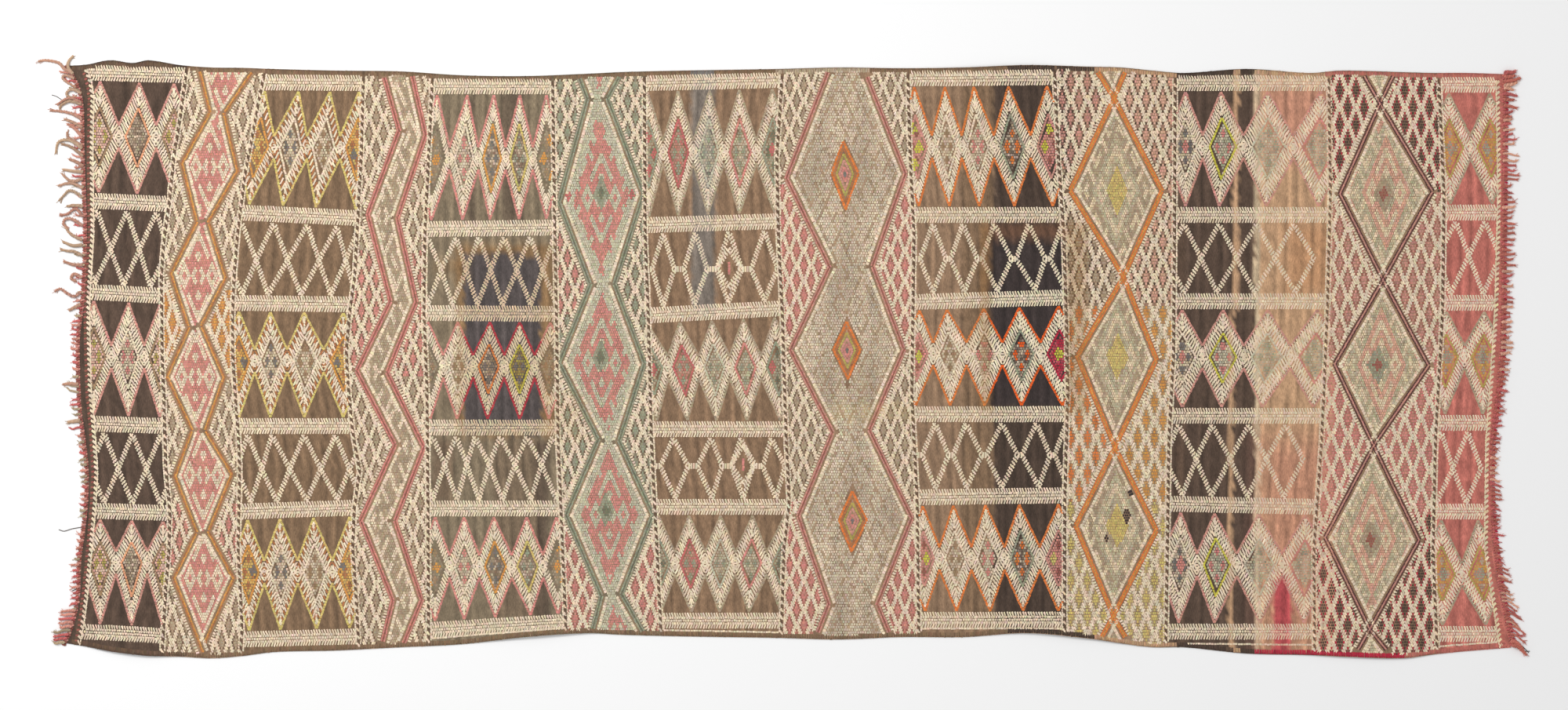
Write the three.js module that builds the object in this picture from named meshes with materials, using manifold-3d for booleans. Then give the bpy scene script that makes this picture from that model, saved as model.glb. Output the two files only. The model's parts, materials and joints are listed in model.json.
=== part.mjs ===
// A flat-woven wool rug lying on the floor: the cloth and a fringe of warp ends at each short end.
// Millimetres, +X along the rug, +Y across it, +Z up.
// The origin is the middle of the whole rug's box, on the floor.

import * as THREE from "three";
import { mergeVertices } from "three/addons/utils/BufferGeometryUtils.js";
import Module from "manifold-3d";

const wasm = await Module();
wasm.setup();

const CLOTH_THICK = 3;
const STRIP_WIDTH = 10; // the twined strip that the warp ends are knotted into
const GAP = 0.3; // between the cloth and a strip
const LONG_CELLS = 60;
const CROSS_CELLS = 24;
const ROOT_INSET = 6; // how far a lock reaches back into its strip
const ROOT_LIFT = 0.7; // a lock leaves the strip just above the floor
const ROOT_THICK = 1.7;
const LOCK_THICK = 2.8;
const TIP_NARROWING = 0.4;

// The two long edges, as y at each x.
const LONG_EDGES = [
  { x: -1840, top: 748, bottom: -722 },
  { x: -1780, top: 751, bottom: -732 },
  { x: -1720, top: 762, bottom: -744 },
  { x: -1660, top: 755, bottom: -752 },
  { x: -1620, top: 762, bottom: -756 },
  { x: -1540, top: 750, bottom: -758 },
  { x: -1460, top: 744, bottom: -762 },
  { x: -1380, top: 743, bottom: -756 },
  { x: -1300, top: 740, bottom: -746 },
  { x: -1140, top: 736, bottom: -742 },
  { x: -980, top: 734, bottom: -734 },
  { x: -820, top: 724, bottom: -726 },
  { x: -660, top: 722, bottom: -708 },
  { x: -500, top: 728, bottom: -698 },
  { x: -420, top: 732, bottom: -702 },
  { x: -260, top: 736, bottom: -706 },
  { x: -20, top: 740, bottom: -710 },
  { x: 140, top: 744, bottom: -714 },
  { x: 300, top: 742, bottom: -708 },
  { x: 460, top: 744, bottom: -708 },
  { x: 620, top: 750, bottom: -698 },
  { x: 780, top: 746, bottom: -712 },
  { x: 860, top: 744, bottom: -724 },
  { x: 940, top: 736, bottom: -734 },
  { x: 1020, top: 730, bottom: -734 },
  { x: 1180, top: 740, bottom: -750 },
  { x: 1340, top: 730, bottom: -754 },
  { x: 1420, top: 736, bottom: -758 },
  { x: 1580, top: 732, bottom: -762 },
  { x: 1660, top: 730, bottom: -752 },
  { x: 1740, top: 730, bottom: -744 },
  { x: 1864, top: 726, bottom: -734 },
];

// The two short ends, strips included, as x at each y.
const SHORT_ENDS = [
  { y: -734, left: -1846, right: 1864 },
  { y: -684, left: -1824, right: 1852 },
  { y: -604, left: -1806, right: 1836 },
  { y: -524, left: -1804, right: 1824 },
  { y: -444, left: -1794, right: 1814 },
  { y: -374, left: -1786, right: 1809 },
  { y: -284, left: -1784, right: 1807 },
  { y: -204, left: -1792, right: 1810 },
  { y: -124, left: -1802, right: 1819 },
  { y: -24, left: -1806, right: 1832 },
  { y: 56, left: -1806, right: 1836 },
  { y: 156, left: -1794, right: 1837 },
  { y: 316, left: -1788, right: 1838 },
  { y: 516, left: -1794, right: 1840 },
  { y: 656, left: -1798, right: 1842 },
  { y: 706, left: -1812, right: 1843 },
  { y: 748, left: -1836, right: 1844 },
];

// Low swells where the cloth doesn't lie quite flat: half sizes along and across, and the height.
const SWELLS = [
  { x: -620, y: -720, along: 190, across: 110, rise: 7 },
  { x: 720, y: -720, along: 230, across: 110, rise: 6 },
  { x: -1670, y: -760, along: 150, across: 90, rise: 6 },
  { x: 1480, y: -765, along: 210, across: 80, rise: 4 },
  { x: -1670, y: 765, along: 130, across: 80, rise: 5 },
  { x: 560, y: 750, along: 220, across: 90, rise: 4 },
  { x: -480, y: 330, along: 110, across: 300, rise: 3 },
  { x: 700, y: -240, along: 130, across: 260, rise: 3 },
];

// Locks of warp yarn, one row for each stretch of the left end, from its top to its bottom.
// reach is how far the tips stand out, lean how far they swing towards +Y.
const LEFT_LOCKS = [
  { from: 742, to: 742, locks: 1, reach: 5, lean: 34, sway: 1, width: 7 },
  { from: 731, to: 731, locks: 1, reach: 66, lean: 22, sway: 8, width: 8 },
  { from: 690, to: 676, locks: 2, reach: 28, lean: 2, sway: 5, width: 6 },
  { from: 658, to: 632, locks: 2, reach: 72, lean: 10, sway: 5, width: 7 },
  { from: 612, to: 572, locks: 3, reach: 38, lean: 20, sway: 3, width: 7 },
  { from: 548, to: 524, locks: 2, reach: 62, lean: 16, sway: 5, width: 7 },
  { from: 498, to: 476, locks: 2, reach: 40, lean: 10, sway: 4, width: 6 },
  { from: 454, to: 422, locks: 3, reach: 58, lean: 6, sway: 6, width: 7 },
  { from: 400, to: 384, locks: 2, reach: 38, lean: 4, sway: 4, width: 7 },
  { from: 364, to: 318, locks: 4, reach: 48, lean: 10, sway: 6, width: 6 },
  { from: 296, to: 240, locks: 4, reach: 46, lean: 8, sway: 5, width: 6 },
  { from: 216, to: 200, locks: 2, reach: 24, lean: 8, sway: 3, width: 6 },
  { from: 172, to: 172, locks: 1, reach: 66, lean: 2, sway: 7, width: 7 },
  { from: 142, to: 124, locks: 2, reach: 22, lean: 2, sway: 2, width: 6 },
  { from: 98, to: 40, locks: 6, reach: 15, lean: 3, sway: 1, width: 6 },
  { from: 26, to: -44, locks: 5, reach: 11, lean: 2, sway: 1, width: 7 },
  { from: -70, to: -84, locks: 2, reach: 36, lean: 12, sway: 3, width: 6 },
  { from: -102, to: -140, locks: 4, reach: 15, lean: 3, sway: 2, width: 6 },
  { from: -160, to: -174, locks: 2, reach: 32, lean: -2, sway: 2, width: 6 },
  { from: -196, to: -400, locks: 15, reach: 9, lean: 1, sway: 1, width: 7 },
  { from: -430, to: -430, locks: 1, reach: 56, lean: -3, sway: 2, width: 4 },
  { from: -448, to: -510, locks: 5, reach: 8, lean: 1, sway: 1, width: 7 },
  { from: -524, to: -636, locks: 9, reach: 13, lean: -2, sway: 1, width: 7 },
  { from: -656, to: -718, locks: 5, reach: 28, lean: -2, sway: 2, width: 10 },
];

// The same for the right end.
const RIGHT_LOCKS = [
  { from: 718, to: 698, locks: 2, reach: 26, lean: 6, sway: 1, width: 11 },
  { from: 678, to: 678, locks: 1, reach: 18, lean: 0, sway: 1, width: 7 },
  { from: 660, to: 646, locks: 2, reach: 28, lean: -2, sway: 1, width: 9 },
  { from: 628, to: 600, locks: 3, reach: 15, lean: 2, sway: 1, width: 8 },
  { from: 584, to: 548, locks: 3, reach: 24, lean: 2, sway: 1, width: 7 },
  { from: 524, to: 524, locks: 1, reach: 36, lean: -3, sway: 2, width: 6 },
  { from: 506, to: 460, locks: 4, reach: 30, lean: -3, sway: 2, width: 7 },
  { from: 440, to: 240, locks: 14, reach: 25, lean: 1, sway: 1, width: 8 },
  { from: 224, to: 30, locks: 14, reach: 20, lean: 1, sway: 1, width: 8 },
  { from: 14, to: -170, locks: 13, reach: 17, lean: 1, sway: 1, width: 8 },
  { from: -186, to: -290, locks: 7, reach: 15, lean: -1, sway: 1, width: 8 },
  { from: -306, to: -380, locks: 6, reach: 22, lean: -3, sway: 1, width: 7 },
  { from: -396, to: -430, locks: 3, reach: 16, lean: -1, sway: 1, width: 7 },
  { from: -446, to: -446, locks: 1, reach: 34, lean: -6, sway: 2, width: 6 },
  { from: -464, to: -514, locks: 4, reach: 14, lean: -5, sway: 1, width: 6 },
  { from: -530, to: -606, locks: 6, reach: 23, lean: -9, sway: 1, width: 6 },
  { from: -622, to: -690, locks: 5, reach: 34, lean: -22, sway: 1, width: 6 },
  { from: -722, to: -722, locks: 1, reach: 40, lean: -24, sway: 1, width: 12 },
];

const SMALL_REACH = 30; // a lock shorter than this takes fewer steps
const LONG_STEPS = 4;
const SHORT_STEPS = 2;
const REACH_SCATTER = 0.16;
const LEAN_SCATTER = 2.2;
const HEADING_STEP = 0.01; // how far ahead a lock's direction is read, as a share of its length
const END_STEPS = 3; // steps that find an end's line at a given y
const NUMBERS_PER_STRETCH = 20; // keeps the scatter of one stretch apart from the next
const SCATTER_RATES = { number: 12.9898, kind: 78.233, slow: 4.1414 }; // uneven, so that no two locks match

const clothFinish = new THREE.MeshStandardMaterial({ color: 0xa5896b, roughness: 0.95, metalness: 0 });
const leftFringeFinish = new THREE.MeshStandardMaterial({ color: 0xa87a6c, roughness: 0.95, metalness: 0 });
const rightFringeFinish = new THREE.MeshStandardMaterial({ color: 0xb4554f, roughness: 0.95, metalness: 0 });

const mix = (a, b, t) => a + (b - a) * t;

// A smooth line through a table's rows, giving the column `value` along the column `along`.
function lineThrough(rows, along, value) {
  const slope = (i) => {
    const before = rows[Math.max(i - 1, 0)];
    const after = rows[Math.min(i + 1, rows.length - 1)];
    return (after[value] - before[value]) / (after[along] - before[along]);
  };
  return (at) => {
    let i = 0;
    while (i < rows.length - 2 && rows[i + 1][along] < at) i += 1;
    const span = rows[i + 1][along] - rows[i][along];
    const t = THREE.MathUtils.clamp((at - rows[i][along]) / span, 0, 1);
    const ease = t * t * (3 - 2 * t);
    const bow = t * (1 - t) * span * (slope(i) * (1 - t) - slope(i + 1) * t);
    return mix(rows[i][value], rows[i + 1][value], ease) + bow;
  };
}

const topEdge = lineThrough(LONG_EDGES, "x", "top");
const bottomEdge = lineThrough(LONG_EDGES, "x", "bottom");
const leftEnd = lineThrough(SHORT_ENDS, "y", "left");
const rightEnd = lineThrough(SHORT_ENDS, "y", "right");
const LOWEST_Y = SHORT_ENDS[0].y;
const HIGHEST_Y = SHORT_ENDS[SHORT_ENDS.length - 1].y;

// How high the cloth's underside stands off the floor.
function swell(x, y) {
  let lift = 0;
  for (const { x: atX, y: atY, along, across, rise } of SWELLS) {
    const nearness = 1 - ((x - atX) / along) ** 2 - ((y - atY) / across) ** 2;
    if (nearness > 0) lift += rise * nearness ** 2;
  }
  return lift;
}

// A point in plan: `share` runs from one long edge to the other, and x is found on the ends' lines.
function planPoint(xAt, share) {
  const x = xAt(mix(LOWEST_Y, HIGHEST_Y, share));
  return { x, y: mix(bottomEdge(x), topEdge(x), share) };
}

// Where an end's line is at this y, found in a few steps towards it.
function endAt(end, y) {
  let share = (y - LOWEST_Y) / (HIGHEST_Y - LOWEST_Y);
  for (let step = 0; step < END_STEPS; step += 1) {
    share += (y - planPoint(end, share).y) / (HIGHEST_Y - LOWEST_Y);
  }
  return planPoint(end, share).x;
}

// A closed mesh from its corners and its four-sided faces, each listed outside view.
function closedMesh(corners, quads) {
  const geometry = new THREE.BufferGeometry();
  geometry.setAttribute("position", new THREE.Float32BufferAttribute(corners.flat(), 3));
  geometry.setIndex(quads.flatMap(([a, b, c, d]) => [a, b, c, a, c, d]));
  return geometry;
}

// The cloth: one sheet of even thickness over its swells, cut to the four edges.
function clothGeometry() {
  const corners = [];
  const row = CROSS_CELLS + 1;
  for (let layer = 0; layer < 2; layer += 1) {
    for (let i = 0; i <= LONG_CELLS; i += 1) {
      for (let j = 0; j <= CROSS_CELLS; j += 1) {
        const xAt = (y) => mix(leftEnd(y) + STRIP_WIDTH, rightEnd(y) - STRIP_WIDTH, i / LONG_CELLS);
        const { x, y } = planPoint(xAt, j / CROSS_CELLS);
        corners.push([x, y, swell(x, y) + layer * CLOTH_THICK]);
      }
    }
  }
  const under = (i, j) => i * row + j;
  const over = (i, j) => (LONG_CELLS + 1) * row + under(i, j);
  const quads = [];
  for (let i = 0; i < LONG_CELLS; i += 1) {
    for (let j = 0; j < CROSS_CELLS; j += 1) {
      quads.push([over(i, j), over(i + 1, j), over(i + 1, j + 1), over(i, j + 1)]);
      quads.push([under(i, j), under(i, j + 1), under(i + 1, j + 1), under(i + 1, j)]);
    }
    quads.push([under(i, 0), under(i + 1, 0), over(i + 1, 0), over(i, 0)]);
    const j = CROSS_CELLS;
    quads.push([under(i + 1, j), under(i, j), over(i, j), over(i + 1, j)]);
  }
  for (let j = 0; j < CROSS_CELLS; j += 1) {
    const i = LONG_CELLS;
    quads.push([under(0, j + 1), under(0, j), over(0, j), over(0, j + 1)]);
    quads.push([under(i, j), under(i, j + 1), over(i, j + 1), over(i, j)]);
  }
  return closedMesh(corners, quads);
}

// A bar lofted through four-sided rings, each ring counter-clockwise as seen from the bar's far end.
function lofted(rings) {
  const quads = [];
  for (let i = 0; i + 1 < rings.length; i += 1) {
    for (let k = 0; k < 4; k += 1) {
      const next = (k + 1) % 4;
      quads.push([i * 4 + k, i * 4 + next, (i + 1) * 4 + next, (i + 1) * 4 + k]);
    }
  }
  const last = (rings.length - 1) * 4;
  quads.push([3, 2, 1, 0], [last, last + 1, last + 2, last + 3]);
  return closedMesh(rings.flat(), quads);
}

function solidOf(geometry) {
  const merged = mergeVertices(geometry);
  return new wasm.Manifold(
    new wasm.Mesh({
      numProp: 3,
      vertProperties: new Float32Array(merged.attributes.position.array),
      triVerts: new Uint32Array(merged.index.array),
    }),
  );
}

function geometryOf(solid) {
  const { vertProperties, triVerts } = solid.getMesh();
  const geometry = new THREE.BufferGeometry();
  geometry.setAttribute("position", new THREE.BufferAttribute(vertProperties, 3));
  geometry.setIndex(new THREE.BufferAttribute(triVerts, 1));
  return geometry;
}

// The twined strip along one short end. side is -1 on the left and 1 on the right.
function strip(end, side) {
  const rings = [];
  for (let j = 0; j <= CROSS_CELLS; j += 1) {
    const share = j / CROSS_CELLS;
    const inner = planPoint((y) => end(y) - side * (STRIP_WIDTH - GAP), share);
    const outer = planPoint(end, share);
    const innerLift = swell(inner.x, inner.y);
    const outerLift = swell(outer.x, outer.y);
    const ring = [
      [inner.x, inner.y, innerLift + CLOTH_THICK],
      [outer.x, outer.y, outerLift + CLOTH_THICK],
      [outer.x, outer.y, outerLift],
      [inner.x, inner.y, innerLift],
    ];
    rings.push(side < 0 ? ring.reverse() : ring);
  }
  return solidOf(lofted(rings));
}

// Even scatter between -1 and 1, the same on every run.
function scatter(number, kind) {
  const quick = Math.sin(number * SCATTER_RATES.number + kind * SCATTER_RATES.kind + 1);
  return quick * Math.cos(number * SCATTER_RATES.slow);
}

// One lock of yarn. It starts inside the strip and comes down to lie level on the floor.
function lock({ y, reach, lean, sway, width }, end, side) {
  const edgeX = endAt(end, y);
  const steps = Math.abs(reach) + Math.abs(lean) < SMALL_REACH ? SHORT_STEPS : LONG_STEPS;
  const centre = (u) => [
    edgeX + side * mix(-ROOT_INSET, reach, u),
    y + lean * u * u + sway * Math.sin(2 * Math.PI * u) * u,
  ];
  const rings = [];
  for (let i = 0; i <= steps; i += 1) {
    const u = i / steps;
    const [x, cy] = centre(u);
    const [aheadX, aheadY] = centre(u + HEADING_STEP);
    const length = Math.hypot(aheadX - x, aheadY - cy);
    const half = (width / 2) * (1 - TIP_NARROWING * u);
    const acrossX = (-(aheadY - cy) / length) * half;
    const acrossY = ((aheadX - x) / length) * half;
    const low = i === 0 ? ROOT_LIFT : 0;
    const high = i === 0 ? ROOT_LIFT + ROOT_THICK : LOCK_THICK;
    rings.push([
      [x + acrossX, cy + acrossY, low],
      [x + acrossX, cy + acrossY, high],
      [x - acrossX, cy - acrossY, high],
      [x - acrossX, cy - acrossY, low],
    ]);
  }
  return solidOf(lofted(rings));
}

// All the locks of one end, spread evenly over each stretch and a little unlike each other.
function locks(stretches, end, side) {
  const made = [];
  stretches.forEach(({ from, to, locks: count, reach, lean, sway, width }, stretch) => {
    for (let i = 0; i < count; i += 1) {
      const number = stretch * NUMBERS_PER_STRETCH + i;
      const row = {
        y: count > 1 ? mix(from, to, i / (count - 1)) : from,
        reach: reach * (1 + REACH_SCATTER * scatter(number, 1)),
        lean: lean + LEAN_SCATTER * scatter(number, 2),
        sway: sway * (1 + scatter(number, 3)),
        width,
      };
      made.push(lock(row, end, side));
    }
  });
  return made;
}

function fringe(name, stretches, end, side, finish) {
  const joined = wasm.Manifold.union([strip(end, side), ...locks(stretches, end, side)]);
  const mesh = new THREE.Mesh(geometryOf(joined), finish);
  mesh.name = name;
  return mesh;
}

const cloth = new THREE.Mesh(clothGeometry(), clothFinish);
cloth.name = "cloth";

const rug = new THREE.Group();
rug.add(cloth);
rug.add(fringe("fringe_left", LEFT_LOCKS, leftEnd, -1, leftFringeFinish));
rug.add(fringe("fringe_right", RIGHT_LOCKS, rightEnd, 1, rightFringeFinish));

// The locks reach further at one end, so the whole rug moves until the origin is its box's middle.
const box = new THREE.Box3().setFromObject(rug);
const middle = box.getCenter(new THREE.Vector3());
rug.position.set(-middle.x, -middle.y, -box.min.z);
rug.updateMatrixWorld(true);

export default rug;
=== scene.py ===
"""A long flat-woven wool rug, dressed stitch by stitch round its plain model.

The pattern is laid out in squares of a weaver's chart: x to the right, y down, one square 2 mm wide.
"""
import json
import math
from collections import namedtuple

import bpy
import numpy as np
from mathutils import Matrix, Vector

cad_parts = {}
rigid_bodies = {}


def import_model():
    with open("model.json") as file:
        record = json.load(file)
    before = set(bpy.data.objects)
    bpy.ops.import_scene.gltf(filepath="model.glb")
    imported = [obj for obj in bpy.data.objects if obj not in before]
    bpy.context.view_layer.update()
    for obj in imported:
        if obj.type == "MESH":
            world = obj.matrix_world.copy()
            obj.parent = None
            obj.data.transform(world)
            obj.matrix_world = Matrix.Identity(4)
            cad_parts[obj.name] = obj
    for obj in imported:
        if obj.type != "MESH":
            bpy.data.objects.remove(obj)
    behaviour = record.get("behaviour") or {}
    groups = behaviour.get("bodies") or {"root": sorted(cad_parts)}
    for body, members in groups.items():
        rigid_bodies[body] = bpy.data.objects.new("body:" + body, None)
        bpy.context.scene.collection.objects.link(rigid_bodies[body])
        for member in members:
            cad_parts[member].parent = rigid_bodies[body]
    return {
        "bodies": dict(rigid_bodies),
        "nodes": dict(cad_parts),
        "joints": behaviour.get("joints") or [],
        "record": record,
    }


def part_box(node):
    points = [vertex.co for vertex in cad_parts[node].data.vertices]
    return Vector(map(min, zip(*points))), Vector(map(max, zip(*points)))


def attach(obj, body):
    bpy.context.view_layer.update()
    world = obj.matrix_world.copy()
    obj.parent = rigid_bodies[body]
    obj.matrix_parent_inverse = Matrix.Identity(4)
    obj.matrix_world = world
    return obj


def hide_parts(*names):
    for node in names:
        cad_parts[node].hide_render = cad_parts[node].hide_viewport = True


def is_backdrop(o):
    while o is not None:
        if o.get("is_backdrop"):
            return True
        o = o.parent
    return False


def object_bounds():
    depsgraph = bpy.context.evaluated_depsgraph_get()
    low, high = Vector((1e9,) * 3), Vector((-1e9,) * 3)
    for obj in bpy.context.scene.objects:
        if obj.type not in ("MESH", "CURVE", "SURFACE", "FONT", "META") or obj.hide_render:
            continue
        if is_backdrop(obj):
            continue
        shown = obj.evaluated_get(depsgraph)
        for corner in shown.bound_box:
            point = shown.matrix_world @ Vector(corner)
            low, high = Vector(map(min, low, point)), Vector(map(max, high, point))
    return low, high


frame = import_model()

bl_info = {
    "name": "Brocaded Wool Rug",
    "version": (1, 0, 0),
    "blender": (4, 5, 0),
    "location": "View3D > Sidebar > Rug",
    "description": "Builds a flat-woven rug with brocaded columns, twined ends and short fringes",
    "category": "Add Mesh",
}

# Chart: metres a square, middles of the rug and of the view in squares, width of the view in metres, width
# of an end strip in squares, and the y at which the columns are counted

SQUARE = 0.002
CHART_MIDDLE = (1000.0, 458.0)
VIEW_MIDDLE = (1000.0, 452.5)
VIEW_WIDTH = 4.0
STRIP_SQUARES = 5.0
LAST_COLUMN = 13
COUNT_HEIGHT = 450.0

# Outline in millimetres from the chart's middle, x to the right and y up

Edge = namedtuple("Edge", "along low_side high_side")
LONG_EDGES = [
    Edge(*row)
    for row in (
        (-1840, -722, 748), (-1780, -732, 751), (-1720, -744, 762), (-1660, -752, 755),
        (-1620, -756, 762), (-1540, -758, 750), (-1460, -762, 744), (-1380, -756, 743),
        (-1300, -746, 740), (-1140, -742, 736), (-980, -734, 734), (-820, -726, 724),
        (-660, -708, 722), (-500, -698, 728), (-420, -702, 732), (-260, -706, 736),
        (-20, -710, 740), (140, -714, 744), (300, -708, 742), (460, -708, 744),
        (620, -698, 750), (780, -712, 746), (860, -724, 744), (940, -734, 736),
        (1020, -734, 730), (1180, -750, 740), (1340, -754, 730), (1420, -758, 736),
        (1580, -762, 732), (1660, -752, 730), (1740, -744, 730), (1864, -734, 726),
    )
]
SHORT_ENDS = [
    Edge(*row)
    for row in (
        (-734, -1846, 1864), (-684, -1824, 1852), (-604, -1806, 1836), (-524, -1804, 1824),
        (-444, -1794, 1814), (-374, -1786, 1809), (-284, -1784, 1807), (-204, -1792, 1810),
        (-124, -1802, 1819), (-24, -1806, 1832), (56, -1806, 1836), (156, -1794, 1837),
        (316, -1788, 1838), (516, -1794, 1840), (656, -1798, 1842), (706, -1812, 1843),
        (748, -1836, 1844),
    )
]

# Cells of the plain cloth that this one is fitted to, along and across

CLOTH_CELLS = (60, 24)

# Low swells of the cloth in millimetres

Swell = namedtuple("Swell", "x y along across rise")
SWELLS = [
    Swell(-620, -720, 190, 110, 7), Swell(720, -720, 230, 110, 6), Swell(-1670, -760, 150, 90, 6),
    Swell(1480, -765, 210, 80, 4), Swell(-1670, 765, 130, 80, 5), Swell(560, 750, 220, 90, 4),
    Swell(-480, 330, 110, 300, 3), Swell(700, -240, 130, 260, 3),
]

# Lines between the columns, as (y, x) in squares: the heading's line first, then one to the right of each
# column

COLUMN_LINES = (
    ((84, 108), (100, 114), (120, 118), (200, 117), (300, 118), (380, 113), (420, 113), (500, 115),
     (540, 119), (600, 123), (640, 121), (700, 116), (760, 110), (800, 105), (820, 100)),
    ((84, 239), (100, 237), (150, 230), (200, 222), (260, 216), (300, 210), (350, 206), (450, 207),
     (500, 209), (600, 212), (650, 217), (700, 216), (760, 211), (835, 207)),
    ((87, 339), (130, 330), (180, 321), (220, 313), (300, 303), (350, 299), (400, 297), (450, 297),
     (500, 300), (550, 304), (600, 306), (700, 304), (800, 309), (835, 307)),
    ((90, 464), (200, 461), (250, 458), (350, 453), (400, 446), (450, 442), (500, 445), (550, 450),
     (600, 459), (650, 452), (700, 450), (750, 454), (828, 458)),
    ((95, 552), (300, 542), (400, 541), (500, 545), (640, 546), (820, 547)),
    ((95, 705), (300, 708), (400, 710), (560, 712), (800, 722)),
    ((95, 822), (300, 823), (400, 827), (560, 831), (700, 838), (800, 843)),
    ((95, 998), (200, 991), (300, 993), (400, 998), (560, 1003), (640, 1007), (700, 1000), (800, 997)),
    ((90, 1158), (200, 1161), (300, 1166), (500, 1163), (600, 1168), (640, 1170), (810, 1172)),
    ((90, 1345), (200, 1350), (300, 1357), (400, 1360), (500, 1362), (640, 1358), (800, 1358)),
    ((95, 1499), (300, 1498), (450, 1497), (560, 1491), (700, 1489), (820, 1487)),
    ((95, 1695), (250, 1697), (400, 1693), (560, 1686), (700, 1676), (830, 1677)),
    ((95, 1835), (250, 1842), (400, 1840), (560, 1831), (700, 1828), (830, 1833)),
    ((100, 1910), (250, 1912), (400, 1908), (560, 1897), (700, 1895), (830, 1915)),
)
PLAIN_COLUMNS = (1, 3, 5, 7, 9, 11, 13)

# Middle of each white bar in squares: y at its column's left side, y at its right side

BAR_LINES = {
    1: ((92, 96), (256, 260), (372, 377), (540, 543), (651, 654), (805, 811)),
    3: ((105, 106), (271, 278), (386, 388), (543, 543), (652, 647), (815, 811)),
    5: ((110, 110), (292, 290), (399, 400), (545, 545), (648, 648), (803, 793)),
    7: ((106, 102), (287, 282), (402, 393), (547, 547), (646, 646), (791, 791)),
    9: ((100, 98), (274, 274), (385, 379), (528, 528), (634, 631), (790, 790)),
    11: ((106, 106), (274, 274), (384, 384), (530, 530), (642, 646), (805, 805)),
    13: ((108, 108), (271, 271), (386, 386), (539, 539), (652, 652), (808, 808)),
}
BAR_THICKNESS = 18.0

# The five rows of each plain column. tops and bottoms are the tips on the two bars, in squares; level is
# the y where neighbours cross; cores name the middle of each diamond from left to right.

Row = namedtuple("Row", "kind level tops bottoms outline frame cores")


def diamonds(level, tops, bottoms, outline, cores, frame=("white",)):
    """A row of framed diamonds."""
    return Row("diamonds", level, tops, bottoms, outline, frame, cores)


def crosses(level, tops, bottoms, link=0.0):
    """A row of crossing white lines, joined by short links where link isn't 0."""
    return Row("crosses", level, tops, bottoms, link, ("white",), ())


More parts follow.
